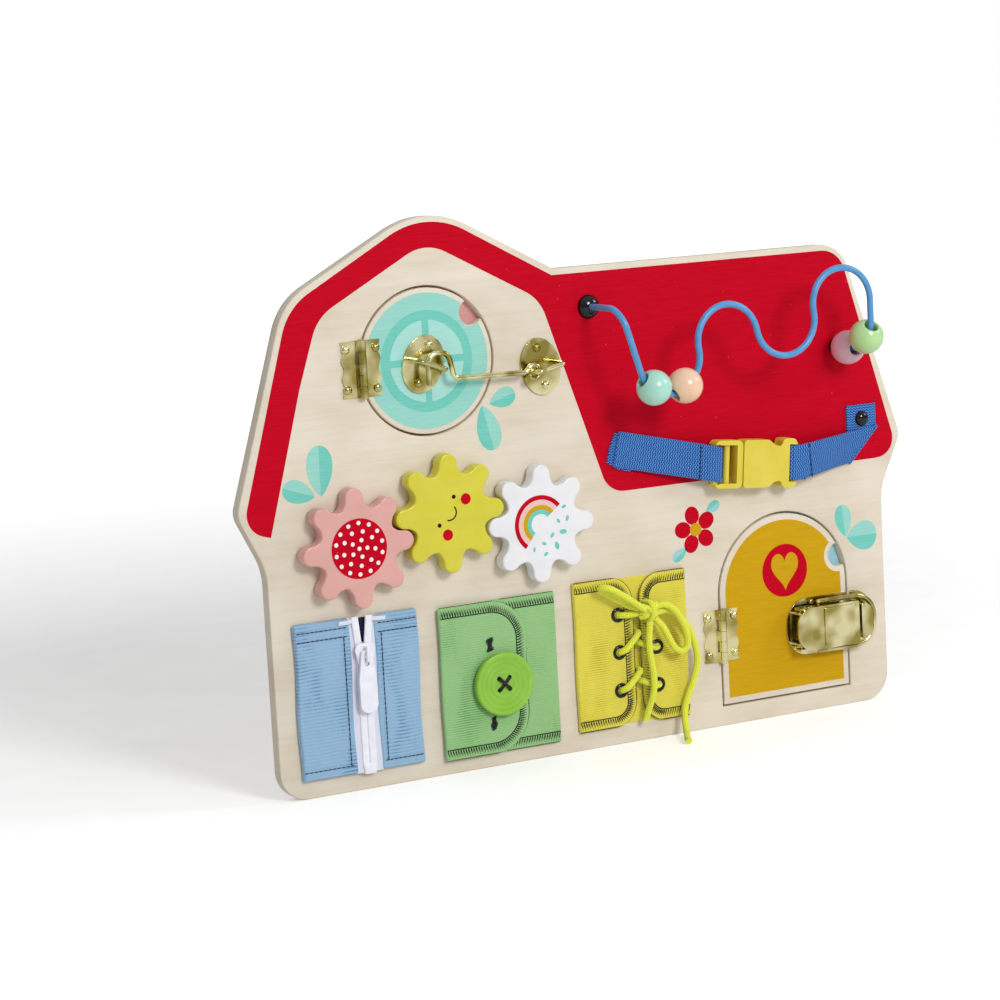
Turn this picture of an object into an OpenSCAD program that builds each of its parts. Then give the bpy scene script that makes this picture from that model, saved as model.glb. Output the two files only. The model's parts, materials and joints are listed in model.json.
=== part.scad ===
// Wooden busy board shaped like a barn: doors, hinges, hook, latch, gears,
// bead wire, buckle strap and three cloth panels with a zip, a button and a lace.
// X runs along the board, Z up, and the front looks towards -Y.

/* [Board] */
// Width between the straight sides
board_w = 388; // [370:1:400]
// Height of the eaves, the level top edge of the right wing
eaves_h = 267.3; // [262:0.1:275]
// Height where the two gable slopes would meet before rounding
gable_h = 307.5; // [303:0.1:312]
// How far the roof tips reach past the straight sides
roof_out = 14.6; // [8:0.1:18]
// Thickness of the front panel, which the doors are cut from
front_t = 5.5; // [5:0.1:7]
// Thickness of the back panel
back_t = 2.5; // [2:0.1:4]

/* [Doors] */
// Radius of the round window hole
window_r = 40; // [38:0.1:41]
// Width of the barn doorway
doorway_w = 87.8; // [84:0.1:90]
// Height of the doorway up to the spring of its arch
doorway_h = 63.2; // [60:0.1:66]
// Gap between a door and its hole
door_gap = 1.2; // [1:0.1:1.6]
// Space between a door and the back panel
door_back_gap = 0.4; // [0.2:0.1:0.8]
// Radius of the finger notch in each door
notch_r = 6.8; // [6:0.1:8]

/* [Hinges] */
// Width of one hinge leaf, from the pin to its wavy edge
leaf_w = 11.4; // [10.5:0.1:12.5]
// Height of a hinge
hinge_h = 30.5; // [28:0.5:33]
// Thickness of hinge leaves
leaf_t = 0.8; // [0.6:0.1:1]
// Outer radius of the knuckles
knuckle_r = 2.3; // [2.1:0.05:2.5]
// Radius of the hinge pin
pin_r = 0.9; // [0.7:0.05:1.1]
// Radius of a dome nail head
nail_r = 2.4; // [2:0.1:2.7]

/* [Hook] */
// Width of an oval hook plate
plate_w = 24; // [22:0.5:26]
// Length of an oval hook plate
plate_l = 31.5; // [29:0.5:34]
// Thickness of an oval hook plate
plate_t = 1.4; // [1:0.1:1.8]
// Half the width of a staple, to the centre of its legs
staple_w = 8.5; // [8:0.1:9]
// Height of a staple above the board
staple_h = 13.5; // [13:0.1:14.5]
// Radius of the staple wire
staple_r = 1.3; // [1:0.05:1.4]
// Radius of the hook's rod
hook_r = 1.5; // [1.3:0.05:1.6]
// Height of the hook's rod above the board
hook_y = 8.5; // [8.2:0.1:9]

/* [Gears] */
// Distance between neighbouring gear centres
gear_pitch = 56; // [55.5:0.1:57]
// Tip radius of a gear
gear_tip_r = 32.2; // [31:0.1:32.6]
// Root radius of a gear
gear_root_r = 22.3; // [21:0.1:22.8]
// Thickness of a gear
gear_t = 8.5; // [7:0.1:10]
// Number of teeth on each gear
gear_teeth = 8; // [8:1:8]
// Thickness of the washer behind a gear
washer_t = 1.5; // [1:0.1:2.5]
// Radius of a gear's axle
axle_r = 3; // [2.5:0.1:4]

/* [Bead wire] */
// Radius of the wire
wire_r = 1.8; // [1.6:0.05:2]
// Distance of the wavy run from the board's face
wire_out = 35; // [35:0.1:38]
// Radius of the wire's waves
wave_r = 19.2; // [18.9:0.05:19.5]
// Radius of the bend that leads back to the board
wire_bend = 16.5; // [16:0.1:17]
// Radius of a bead
bead_r = 9.75; // [9.5:0.05:9.8]
// Radius of the hole through a bead
bead_bore_r = 3.8; // [3.6:0.05:4]

/* [Cloth panels] */
// Width of each cloth panel
panel_w = 72; // [68:0.5:74]
// Height of each cloth panel
panel_h = 84; // [78:0.5:86]
// Thickness of one layer of cloth
cloth_t = 1.2; // [0.8:0.1:1.4]
// Radius of the big button
button_r = 17.5; // [16:0.1:19]
// Thickness of the big button
button_t = 4; // [3.5:0.1:5]
// Radius of the round lace
lace_r = 1.7; // [1.5:0.05:1.8]

/* [Strap and buckle] */
// Width of the webbing
strap_w = 20; // [18:0.5:21]
// Thickness of the webbing
strap_t = 1.4; // [1.2:0.1:1.6]
// Length of the buckle's closed shell
shell_l = 30; // [28:0.5:33]
// Width of the buckle
buckle_w = 27; // [26:0.5:30]
// Thickness of the buckle
buckle_t = 9; // [8:0.1:10]

/* [Latch] */
// Height of the oval latch
latch_h = 33; // [31:0.5:35]
// Thickness of the latch's sheet metal
latch_t = 1.2; // [1:0.1:1.4]
// How far the lever's face stands off the board
latch_out = 11.5; // [11:0.1:13]

/* [Hidden] */
$fn = 48;

// Small gap between pieces that pass each other
slip = 0.3;
// Turn between two points of a rounded corner, in degrees
arc_step = 7.5;
// Front face of the board: the origin lies mid-way through its thickness
face_y = -(front_t + back_t) / 2;
half_w = board_w / 2;

// Colours
wood = [0.89, 0.85, 0.78];
brass = [0.80, 0.74, 0.45];
black = [0.07, 0.07, 0.08];
lace_yellow = [0.91, 0.94, 0.27];
plastic_yellow = [0.91, 0.83, 0.30];
webbing_blue = [0.20, 0.45, 0.78];
zip_white = [0.95, 0.95, 0.98];

// ---- geometry helpers ----

// Stands a plane drawing up against the board: it fills depth t in front of y
module sheet(y, t) translate([0, y, 0]) rotate([90, 0, 0]) linear_extrude(t) children();

// Moves a piece from the board's face, where it is drawn, to its place
module on_face() translate([0, face_y, 0]) children();

// Pin along Y from y0 to y1 at [x, z]
module peg(at, y0, y1, r) translate([at[0], max(y0, y1), at[1]]) rotate([90, 0, 0])
    cylinder(h = abs(y1 - y0), r = r);

function unit(v) = v / norm(v);
function turn2(v, a) = [v[0] * cos(a) - v[1] * sin(a), v[0] * sin(a) + v[1] * cos(a)];

// Points of the arc that rounds corner b between a and c, with radius r
function corner(a, b, c, r) =
    let (d1 = unit(b - a), d2 = unit(c - b), bend = atan2(cross(d1, d2), d1 * d2),
        start = b - d1 * r * tan(abs(bend) / 2),
        centre = start + sign(bend) * r * [-d1[1], d1[0]],
        steps = max(1, ceil(abs(bend) / arc_step)))
    r == 0 ? [b] : [for (i = [0:steps]) centre + turn2(start - centre, bend * i / steps)];

// Closed outline through corners [x, z, radius]
function rounded(v) = let (n = len(v), p = [for (q = v) [q[0], q[1]]])
    [for (i = [0:n - 1]) each corner(p[(i + n - 1) % n], p[i], p[(i + 1) % n], v[i][2])];

module rounded_box(x0, x1, z0, z1, r) polygon(rounded([[x0, z0, r], [x1, z0, r],
    [x1, z1, r], [x0, z1, r]]));

// Straight rod of radius r from a to b
module rod(a, b, r) {
    d = b - a;
    translate(a) rotate([0, acos(d[2] / norm(d)), atan2(d[1], d[0])]) cylinder(h = norm(d), r = r);
}

// Distance from a corner to where its bend starts
function bend_cut(a, b, c, r) = r * tan(acos(unit(b - a) * unit(c - b)) / 2);
// Centre of the bend at corner b
function bend_centre(a, b, c, r) = let (d1 = unit(b - a), d2 = unit(c - b), k = unit(d2 - d1))
    b + k * r / cos(acos(d1 * d2) / 2);

// Turn between two rings of a bent wire, in degrees
wire_step = 12;
// Points of an arc round o, after its start in direction x, turning by a about z
function arc_path(o, x, z, a, big) = let (n = ceil(a / wire_step), y = cross(z, x))
    [for (i = [1:n]) o + big * (cos(a * i / n) * x + sin(a * i / n) * y)];
// Points of the bend at corner b, with its centreline at radius big
function bend_path(a, b, c, big) = let (d1 = unit(b - a), d2 = unit(c - b),
    from = b - d1 * bend_cut(a, b, c, big), o = bend_centre(a, b, c, big))
    concat([from], arc_path(o, unit(from - o), unit(cross(d1, d2)), acos(d1 * d2), big));

// Bend of a rod of radius r round corner b, with its centreline at radius big
module bend(a, b, c, r, big) {
    d1 = unit(b - a);
    d2 = unit(c - b);
    o = bend_centre(a, b, c, big);
    z = unit(cross(d1, d2));
    x = unit(b - d1 * bend_cut(a, b, c, big) - o);
    y = cross(z, x);
    multmatrix([[x[0], y[0], z[0], o[0]], [x[1], y[1], z[1], o[1]], [x[2], y[2], z[2], o[2]], [0, 0, 0, 1]])
        rotate_extrude(angle = acos(d1 * d2)) translate([big, 0]) circle(r = r);
}

// Rod of radius r along points p, bent at each inner point with radius bends[i]
module bent_rod(p, r, bends) {
    n = len(p);
    cut = [for (i = [0:n - 1]) i == 0 || i == n - 1 ? 0 : bend_cut(p[i - 1], p[i], p[i + 1], bends[i])];
    for (i = [0:n - 2]) let (d = unit(p[i + 1] - p[i]))
        rod(p[i] + d * cut[i], p[i + 1] - d * cut[i + 1], r);
    for (i = [1:n - 2]) bend(p[i - 1], p[i], p[i + 1], r, bends[i]);
}

// Soft round tube of radius r through points p, with flat ends and sides faces
module tube(p, r, sides = 8) {
    n = len(p);
    dir = [for (i = [0:n - 1]) unit(p[min(i + 1, n - 1)] - p[max(i - 1, 0)])];
    // each ring's first axis is the last one's, made square to the new direction
    first = unit(cross(dir[0], abs(dir[0][1]) < 0.9 ? [0, 1, 0] : [1, 0, 0]));
    ax = [for (i = 0, a = first; i < n; i = i + 1,
        a = i < n ? unit(a - dir[i] * (a * dir[i])) : a) a];
    ring = [for (i = [0:n - 1]) let (b = cross(dir[i], ax[i])) for (k = [0:sides - 1])
        p[i] + r * (cos(360 * k / sides) * ax[i] + sin(360 * k / sides) * b)];
    walls = [for (i = [0:n - 2], k = [0:sides - 1]) let (k2 = (k + 1) % sides, a = i * sides, b = a + sides)
        each [[a + k, b + k, b + k2], [a + k, b + k2, a + k2]]];
    polyhedron(ring, concat(walls, [[for (k = [0:sides - 1]) k]],
        [[for (k = [sides - 1:-1:0]) (n - 1) * sides + k]]));
}

// ---- board ----

window_at = [-94.5, 224.6];
doorway_x = 123.9;
doorway_z = 10.9;
door_r = doorway_w / 2;
arch_z = doorway_z + doorway_h;
tip_z = 154;
kink_z = 124;
roof_corner_x = half_w - 22;
valley_x = -15;
gable_x = -90;
shoulder = [-half_w + 18.7, 262];

board_outline = rounded([
    [-half_w, 0, 16], [half_w, 0, 16],
    [half_w, kink_z, 36], [half_w + roof_out, tip_z, 11],
    [roof_corner_x, eaves_h, 20], [valley_x, eaves_h, 6],
    [gable_x, gable_h, 50], [shoulder[0], shoulder[1], 36],
    [-half_w - roof_out, tip_z, 12], [-half_w, kink_z, 36]]);

// Doorway outline, drawn in by the gap g
module doorway_shape(g) {
    translate([doorway_x, arch_z]) circle(r = door_r - g, $fn = 96);
    translate([doorway_x - door_r + g, doorway_z + g]) square([doorway_w - 2 * g, doorway_h - g]);
}

module panel_holes() {
    for (c = gear_centres) translate(c) circle(r = axle_r + 0.2);
    for (c = [wire_in, wire_back]) translate(c) circle(r = wire_r);
    for (c = concat(frame_nail_at, strap_rivet_at)) translate(c) circle(r = nail_shank_r);
}

module front_panel() color(wood) on_face() difference() {
    sheet(front_t, front_t) difference() {
        polygon(board_outline);
        translate(window_at) circle(r = window_r, $fn = 96);
        doorway_shape(0);
        panel_holes();
    }
    // pockets behind the panel for the axle heads
    for (c = gear_centres) peg(c, front_t, front_t - axle_head_t - slip, axle_head_r + slip);
}

module back_panel() color(wood) on_face() sheet(front_t + back_t, back_t) polygon(board_outline);

// ---- doors ----

// Gap between a pin's centre and the straight edge of its door
hinge_edge = 0.8;
window_pin_x = window_at[0] - window_r + 1.3;
window_hinge_z = 224;
window_notch = [window_at[0] + 27.5, window_at[1] + 23.5];
barn_pin_x = doorway_x - door_r + door_gap - hinge_edge;
barn_hinge_z = 52.3;
barn_notch = [doorway_x + 38.3, arch_z + 14.5];
door_t = front_t - door_back_gap;

module window_door() color([0.60, 0.86, 0.81]) on_face() sheet(door_t, door_t) difference() {
    translate(window_at) circle(r = window_r - door_gap, $fn = 96);
    translate([window_at[0] - 2 * window_r, window_at[1] - window_r])
        square([window_pin_x + hinge_edge - window_at[0] + 2 * window_r, 2 * window_r]);
    translate(window_notch) circle(r = notch_r);
    for (c = window_nail_at) translate(c) circle(r = nail_shank_r);
}

module barn_door() color([0.83, 0.66, 0.09]) on_face() sheet(door_t, door_t) difference() {
    doorway_shape(door_gap);
    translate(barn_notch) circle(r = notch_r);
    for (c = barn_nail_at) translate(c) circle(r = nail_shank_r);
}

// ---- hinges ----

knuckles = 5;
pin_clear = 0.05;
knuckle_gap = 0.2;
pin_y = -(knuckle_r + slip);
nail_in = 2.7;
nail_up = hinge_h / 2 - 4.6;
nail_shank_r = 0.8;
wave = 0.7;

// Leaf outline: its outer edge waves between the nail lobes
function leaf_outline(side) = concat([[0, -hinge_h / 2]],
    [for (i = [0:24]) let (u = i / 24) [side * (leaf_w - wave * (1 - cos(3 * 360 * u))),
        (u - 0.5) * (hinge_h - 1)]], [[0, hinge_h / 2]]);

function knuckle_z(i) = (i / knuckles - 0.5) * hinge_h;

// One hinge leaf with its knuckles; side -1 is the left leaf, first its lowest knuckle
module hinge_leaf(at, side, first) color(brass) on_face() translate([at[0], 0, at[1]]) difference() {
    union() {
        difference() {
            sheet(0, leaf_t) polygon(leaf_outline(side));
            for (i = [1 - first:2:knuckles - 1])
                translate([-knuckle_r - slip, -leaf_t - 1, knuckle_z(i) - knuckle_gap])
                    cube([2 * (knuckle_r + slip), leaf_t + 2, hinge_h / knuckles + 2 * knuckle_gap]);
        }
        for (i = [first:2:knuckles - 1]) translate([0, pin_y, knuckle_z(i) + knuckle_gap / 2])
            cylinder(h = hinge_h / knuckles - knuckle_gap, r = knuckle_r);
        for (i = [first:2:knuckles - 1]) translate([min(0, side * knuckle_r), pin_y, knuckle_z(i) + knuckle_gap / 2])
            cube([knuckle_r, -pin_y, hinge_h / knuckles - knuckle_gap]);
    }
    translate([0, pin_y, -hinge_h]) cylinder(h = 2 * hinge_h, r = pin_r + pin_clear);
    for (s = [-1, 1]) peg([side * (leaf_w - nail_in), s * nail_up], 1, -leaf_t - 1, nail_shank_r);
}

module window_frame_leaf() hinge_leaf([window_pin_x, window_hinge_z], -1, 0);
module window_door_leaf() hinge_leaf([window_pin_x, window_hinge_z], 1, 1);
module barn_frame_leaf() hinge_leaf([barn_pin_x, barn_hinge_z], -1, 0);
module barn_door_leaf() hinge_leaf([barn_pin_x, barn_hinge_z], 1, 1);

module hinge_pin(at) translate([at[0], pin_y, at[1] - hinge_h / 2]) {
    cylinder(h = hinge_h, r = pin_r);
    for (z = [-0.6, hinge_h]) translate([0, 0, z]) cylinder(h = 0.6, r = pin_r + 0.6);
}

module hinge_pins() color(brass) on_face() {
    hinge_pin([window_pin_x, window_hinge_z]);
    hinge_pin([barn_pin_x, barn_hinge_z]);
}

// ---- nails and rivets ----

// Dome-headed nail whose head sits on a plate of thickness t
module dome_nail(at, t, r = nail_r) {
    translate([at[0], -t, at[1]]) rotate([90, 0, 0]) rotate_extrude()
        polygon([for (i = [0:12]) let (a = 90 * i / 12) [r * sin(a), 0.7 * r * cos(a)], [0, 0]]);
    peg(at, -t, 4.4, nail_shank_r);
}

function hinge_nails(x, z, side) = [for (s = [-1, 1]) [x + side * (leaf_w - nail_in), z + s * nail_up]];
// Two nails of an oval plate turned by angle a
function plate_nails(at, a) = [for (s = [-1, 1]) at + s * plate_nail_up * [-sin(a), cos(a)]];

plate_nail_up = 10.5;
plate_frame_at = [-26.8, 215.4];
plate_frame_turn = 11.5;
plate_door_at = [-97.3, 223.3];
plate_door_turn = -20;

latch_z = 50;
latch_x0 = 124.5;
latch_x1 = 182.8;
catch_x0 = doorway_x + door_r + 0.9;
latch_nail_at = [for (s = [-1, 1]) [latch_x0 + 17, latch_z + s * (latch_h / 2 - 2.6)]];
catch_nail_at = [for (s = [-1, 1]) [catch_x0 + 2.8, latch_z + s * (latch_h / 2 - 3)]];
window_nail_at = concat(hinge_nails(window_pin_x, window_hinge_z, 1), plate_nails(plate_door_at, plate_door_turn));
barn_nail_at = concat(hinge_nails(barn_pin_x, barn_hinge_z, 1), latch_nail_at);
frame_nail_at = concat(hinge_nails(window_pin_x, window_hinge_z, -1), hinge_nails(barn_pin_x, barn_hinge_z, -1),
    plate_nails(plate_frame_at, plate_frame_turn), catch_nail_at);

module frame_nails() color(brass) on_face() {
    for (p = hinge_nails(window_pin_x, window_hinge_z, -1)) dome_nail(p, leaf_t);
    for (p = hinge_nails(barn_pin_x, barn_hinge_z, -1)) dome_nail(p, leaf_t);
    for (p = plate_nails(plate_frame_at, plate_frame_turn)) dome_nail(p, plate_t);
    for (p = catch_nail_at) dome_nail(p, latch_t, catch_nail_r);
}

module window_nails() color(brass) on_face() {
    for (p = hinge_nails(window_pin_x, window_hinge_z, 1)) dome_nail(p, leaf_t);
    for (p = plate_nails(plate_door_at, plate_door_turn)) dome_nail(p, plate_t);
}

module barn_nails() color(brass) on_face() {
    for (p = hinge_nails(barn_pin_x, barn_hinge_z, 1)) dome_nail(p, leaf_t);
    for (p = latch_nail_at) dome_nail(p, latch_t, catch_nail_r);
}

// ---- cabin hook ----

// Oval plate with its U staple, turned by a in the plane of the board
module hook_plate(at, a) color(brass) on_face() translate([at[0], 0, at[1]]) rotate([0, -a, 0]) {
    difference() {
        sheet(0, plate_t) scale_oval(plate_w / 2, plate_l / 2);
        for (s = [-1, 1]) peg([0, s * plate_nail_up], 1, -plate_t - 1, nail_shank_r);
    }
    bent_rod([[-staple_w, -plate_t / 2, 0], [-staple_w, -staple_h, 0], [staple_w, -staple_h, 0],
        [staple_w, -plate_t / 2, 0]], staple_r, [0, 2.2, 2.2, 0]);
}

// Oval with half axes a and b, from its formula
module scale_oval(a, b) polygon([for (i = [0:71]) [a * cos(5 * i), b * sin(5 * i)]]);

module hook_plate_frame() hook_plate(plate_frame_at, plate_frame_turn);
module hook_plate_door() hook_plate(plate_door_at, plate_door_turn);

// The hook's eye goes round the left leg of the frame's staple
hook_eye = plate_frame_at - staple_w * [cos(plate_frame_turn), sin(plate_frame_turn)];
eye_r = 3.6;
neck_r = 4;
hook_x = plate_door_at[0] - 0.7;
hook_top = 229;
crook_r = 5.5;
hook_tip = [hook_x, -hook_y, hook_top - 16.5];
hook_a = [hook_x, -hook_y, hook_top];
hook_b = [hook_x + 12, -hook_y, hook_top];
hook_c = [hook_x + 15, -hook_y, 214.8];
eye_at = [hook_eye[0], -hook_y, hook_eye[1]];
rod_dir = unit(eye_at - hook_c);
rod_up = cross(rod_dir, [0, 1, 0]);
// the rod turns up at a neck, then curls round the eye
neck_x = sqrt(pow(eye_r + neck_r, 2) - pow(neck_r, 2));
neck_at = eye_at - neck_x * rod_dir + neck_r * rod_up;
neck_turn = 90 - atan2(neck_r, neck_x);
eye_turn = 284;

module cabin_hook() color(brass) on_face() tube(concat([hook_tip],
    bend_path(hook_tip, hook_a, hook_b, crook_r), bend_path(hook_a, hook_b, hook_c, crook_r),
    bend_path(hook_b, hook_c, eye_at, 3), [neck_at - neck_r * rod_up],
    arc_path(neck_at, -rod_up, [0, -1, 0], neck_turn, neck_r),
    arc_path(eye_at, unit(neck_at - eye_at), [0, 1, 0], eye_turn, eye_r)), hook_r, 16);

// ---- latch on the barn door ----

lever_pin_x = latch_x0 + 6.5;
lever_pin_y = -6.2;
hasp_pin_x = lever_pin_x + 12;
base_x1 = doorway_x + door_r - door_gap - 1;
lug_x0 = catch_x0 + 1.2;
lug_x1 = latch_x1 - 5.2;
// Corner radius of the lug, which keeps it clear inside the bends of the hasp
lug_r = 6;
ear_z = 9;
lever_h = latch_h - 8;
hasp_r = 1.5;
catch_nail_r = 1.7;

module latch_base() color(brass) on_face() difference() {
    union() {
        sheet(0, latch_t) polygon(rounded([[latch_x0, latch_z - latch_h / 2, 14], [base_x1, latch_z - latch_h / 2, 1],
            [base_x1, latch_z + latch_h / 2, 1], [latch_x0, latch_z + latch_h / 2, 14]]));
        // two ears that carry the lever's pin
        for (s = [-1, 1]) translate([lever_pin_x, 0, latch_z + s * ear_z - latch_t / 2]) {
            translate([0, lever_pin_y, 0]) cylinder(h = latch_t, r = 2.6);
            translate([-2.6, lever_pin_y, 0]) cube([5.2, -lever_pin_y, latch_t]);
        }
    }
    translate([lever_pin_x, lever_pin_y, 0]) cylinder(h = 100, r = pin_r);
    for (p = latch_nail_at) peg(p, 1, -latch_t - 1, nail_shank_r);
}

module latch_pin() color(brass) on_face() translate([lever_pin_x, lever_pin_y, latch_z - lever_h / 2 - 0.5])
    cylinder(h = lever_h + 1, r = pin_r);

// Lever: a flat face with two side walls, pinned at its left end
module latch_lever() color(brass) on_face() difference() {
    union() {
        sheet(-latch_out + latch_t, latch_t) polygon(rounded([[latch_x0 + 1, latch_z - lever_h / 2, 10],
            [lug_x0 - 2.2, latch_z - lever_h / 2, 1], [lug_x0 - 2.2, latch_z + lever_h / 2, 1],
            [latch_x0 + 1, latch_z + lever_h / 2, 10]]));
        // raised pad in the middle of the face
        sheet(-latch_out, 0.8) rounded_box(latch_x0 + 19, lug_x0 - 6, latch_z - lever_h / 2 + 1.5,
            latch_z + lever_h / 2 - 1.5, 1.5);
        for (s = [-1, 1]) translate([0, 0, latch_z + s * (lever_h / 2 - latch_t / 2) - latch_t / 2])
            linear_extrude(latch_t) polygon(rounded([[latch_x0 + 3, lever_pin_y + 2.2, 1.5],
                [hasp_pin_x + 3, lever_pin_y + 2.2, 1.5], [hasp_pin_x + 12, -latch_out + latch_t, 0],
                [latch_x0 + 3, -latch_out + latch_t, 0]]));
    }
    translate([lever_pin_x, lever_pin_y, 0]) cylinder(h = 100, r = pin_r + pin_clear);
    translate([hasp_pin_x, lever_pin_y, 0]) cylinder(h = 100, r = 0.9 + pin_clear);
}

// U-shaped hasp: its ends turn in as pivots, and its bow goes round the catch
hasp_z = lever_h / 2 + slip + hasp_r;
module latch_hasp() color(brass) on_face() {
    y = lever_pin_y;
    x1 = latch_x1 - hasp_r;
    bent_rod([[hasp_pin_x, y, latch_z + hasp_z], [x1, y, latch_z + hasp_z], [x1, y, latch_z - hasp_z],
        [hasp_pin_x, y, latch_z - hasp_z]], hasp_r, [0, hasp_z - 1.5, hasp_z - 1.5, 0]);
    for (s = [-1, 1]) {
        translate([hasp_pin_x, y, latch_z + s * hasp_z]) sphere(r = hasp_r);
        translate([hasp_pin_x, y, latch_z + min(s * hasp_z, s * (hasp_z - 3.2))]) cylinder(h = 3.2, r = 0.9);
    }
}

// Catch on the frame: a plate with a D-shaped lug for the hasp
module latch_catch() color(brass) on_face() difference() {
    union() {
        sheet(0, latch_t) polygon(rounded([[catch_x0, latch_z - latch_h / 2, 1], [latch_x1, latch_z - latch_h / 2, 12],
            [latch_x1, latch_z + latch_h / 2, 12], [catch_x0, latch_z + latch_h / 2, 1]]));
        lug_h = 2 * (hasp_z - hasp_r) - 5.4;
        sheet(-latch_t, latch_out - latch_t - 0.6) polygon(rounded([[lug_x0, latch_z - lug_h / 2, 0.8],
            [lug_x1, latch_z - lug_h / 2, lug_r], [lug_x1, latch_z + lug_h / 2, lug_r], [lug_x0, latch_z + lug_h / 2, 0.8]]));
    }
    for (p = catch_nail_at) peg(p, 1, -latch_t - 1, nail_shank_r);
}

// ---- gears ----

gear_tilt = 12.5;
gear_mid_at = [-90.4, 143.3];
gear_left_at = gear_mid_at - gear_pitch * [cos(gear_tilt), sin(gear_tilt)];
gear_right_at = gear_mid_at + gear_pitch * [cos(gear_tilt), -sin(gear_tilt)];
gear_centres = [gear_left_at, gear_mid_at, gear_right_at];
tooth_pitch = 360 / gear_teeth;
side_phase = 2 * gear_tilt - tooth_pitch / 2;
axle_head_r = 6;
axle_head_t = 1.8;
axle_depth = 5;

// Petal-toothed outline: the radius follows a squared-off cosine wave
function petal_wave(a) = let (w = cos(gear_teeth * a)) sign(w) * pow(abs(w), 0.6);
function gear_outline(phase) = [for (i = [0:gear_teeth * 20 - 1]) let (a = 360 * i / (gear_teeth * 20),
    r = (gear_tip_r + gear_root_r) / 2 + (gear_tip_r - gear_root_r) / 2 * petal_wave(a))
    [r * cos(a + phase), r * sin(a + phase)]];

module gear(at, phase, tint) color(tint) on_face() difference() {
    sheet(-washer_t, gear_t) translate(at) polygon(gear_outline(phase));
    peg(at, 1, -washer_t - axle_depth, axle_r);
}

// Axle: glued into the gear, with its head turning in a pocket behind the panel
module axle(at) color([0.75, 0.75, 0.78]) on_face() {
    peg(at, front_t - axle_head_t, -washer_t - axle_depth, axle_r);
    peg(at, front_t - slip / 2, front_t - axle_head_t, axle_head_r);
}

module gear_left() gear(gear_left_at, side_phase, [0.91, 0.71, 0.68]);
module gear_mid() gear(gear_mid_at, 0, [0.87, 0.84, 0.24]);
module gear_right() gear(gear_right_at, -side_phase, [0.96, 0.96, 0.97]);
module axle_left() axle(gear_left_at);
module axle_mid() axle(gear_mid_at);
module axle_right() axle(gear_right_at);

module gear_washers() color([0.8, 0.8, 0.82]) on_face() for (c = gear_centres)
    sheet(0, washer_t) translate(c) difference() {
        circle(r = 9);
        circle(r = axle_r + 0.2);
    }

// ---- bead wire ----

wave_climb = 10.5;
wave_start = 17;
wave_step = 2 * wave_r * [cos(wave_climb), sin(wave_climb)];
wave_first = [34, 216];
function wave_centre(i) = [wave_first[0] + i * wave_step[0], -wire_out, wave_first[1] + i * wave_step[1]];
function flat_dir(a) = [cos(a), 0, sin(a)];
lead_in = 24.2;
lead_bend = 12;
lead_dir = flat_dir(90 + wave_start);
wave_begin = wave_centre(0) - wave_r * flat_dir(wave_start);
lead_top = wave_begin + lead_in * lead_dir;
lead_end = lead_top + lead_bend * (lead_dir + [0, 1, 0]);
wire_in = [lead_end[0], lead_end[2]];
wire_back = [wave_centre(3)[0] + wave_r, 209];
back_bend = [wire_back[0], -wire_out + wire_bend, wire_back[1] + wire_bend];

// Out of the board, down to the first valley, two valleys and two peaks, down and back
wire_path = concat([[lead_end[0], front_t, lead_end[2]], lead_end],
    arc_path(lead_top + [0, lead_bend, 0], lead_dir, cross(lead_dir, [0, -1, 0]), 90, lead_bend), [wave_begin],
    arc_path(wave_centre(0), -flat_dir(wave_start), [0, -1, 0], 180 + wave_climb - wave_start, wave_r),
    arc_path(wave_centre(1), -flat_dir(wave_climb), [0, 1, 0], 180, wave_r),
    arc_path(wave_centre(2), -flat_dir(wave_climb), [0, -1, 0], 180, wave_r),
    arc_path(wave_centre(3), -flat_dir(wave_climb), [0, 1, 0], 180 + wave_climb, wave_r),
    [[wire_back[0], -wire_out, back_bend[2]]], arc_path(back_bend, [0, -1, 0], [1, 0, 0], 90, wire_bend),
    [[wire_back[0], front_t, wire_back[1]]]);
module bead_wire() color([0.39, 0.62, 0.87]) on_face() tube(wire_path, wire_r, 16);

module wire_collars() color(black) on_face() difference() {
    union() {
        translate([wire_in[0], 0, wire_in[1]]) rotate([90, 0, 0]) rotate_extrude()
            polygon(concat([[0, 0]], [for (i = [0:12]) let (a = 90 * i / 12) [6.6 * cos(a), 4.6 * sin(a)]]));
        peg(wire_back, 0, -1.4, 5);
    }
    for (c = [wire_in, wire_back]) peg(c, 1, -10, wire_r);
}

// Bead with its hole along axis, rounded at both mouths
module bead(at, axis, tint) color(tint) on_face() translate(at)
    rotate([0, acos(axis[2]), atan2(axis[1], axis[0])]) rotate_extrude($fn = 72) difference() {
        intersection() {
            circle(r = bead_r, $fn = 72);
            translate([bead_bore_r, -bead_r]) square([bead_r, 2 * bead_r]);
        }
        for (s = [-1, 1]) translate([bead_bore_r - 0.01, s * bead_mouth_z]) rotate(45) square(1.6, center = true);
    }
bead_mouth_z = sqrt(pow(bead_r, 2) - pow(bead_bore_r, 2));

// How far a bead sits inside its bend, so that the wire stays in its hole
bead_in = 1.1;
bead_in_bend = 1.4;
mint_turn = 55.2;
peach_turn = 120.6;
green_turn = 40;
pink_y = -11.6;
module wave_bead(turn, tint) bead(wave_centre(0) - (wave_r - bead_in) * flat_dir(turn), flat_dir(turn - 90), tint);
module bead_mint() wave_bead(mint_turn, [0.67, 0.87, 0.80]);
module bead_peach() wave_bead(peach_turn, [0.97, 0.82, 0.71]);
module bead_green() bead(back_bend - (wire_bend - bead_in_bend) * [0, cos(green_turn), sin(green_turn)],
    [0, -sin(green_turn), cos(green_turn)], [0.75, 0.89, 0.63]);
module bead_pink() bead([wire_back[0], pink_y, wire_back[1] - 0.2], [0, 1, 0], [0.88, 0.70, 0.76]);

// ---- cloth panels ----

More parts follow.
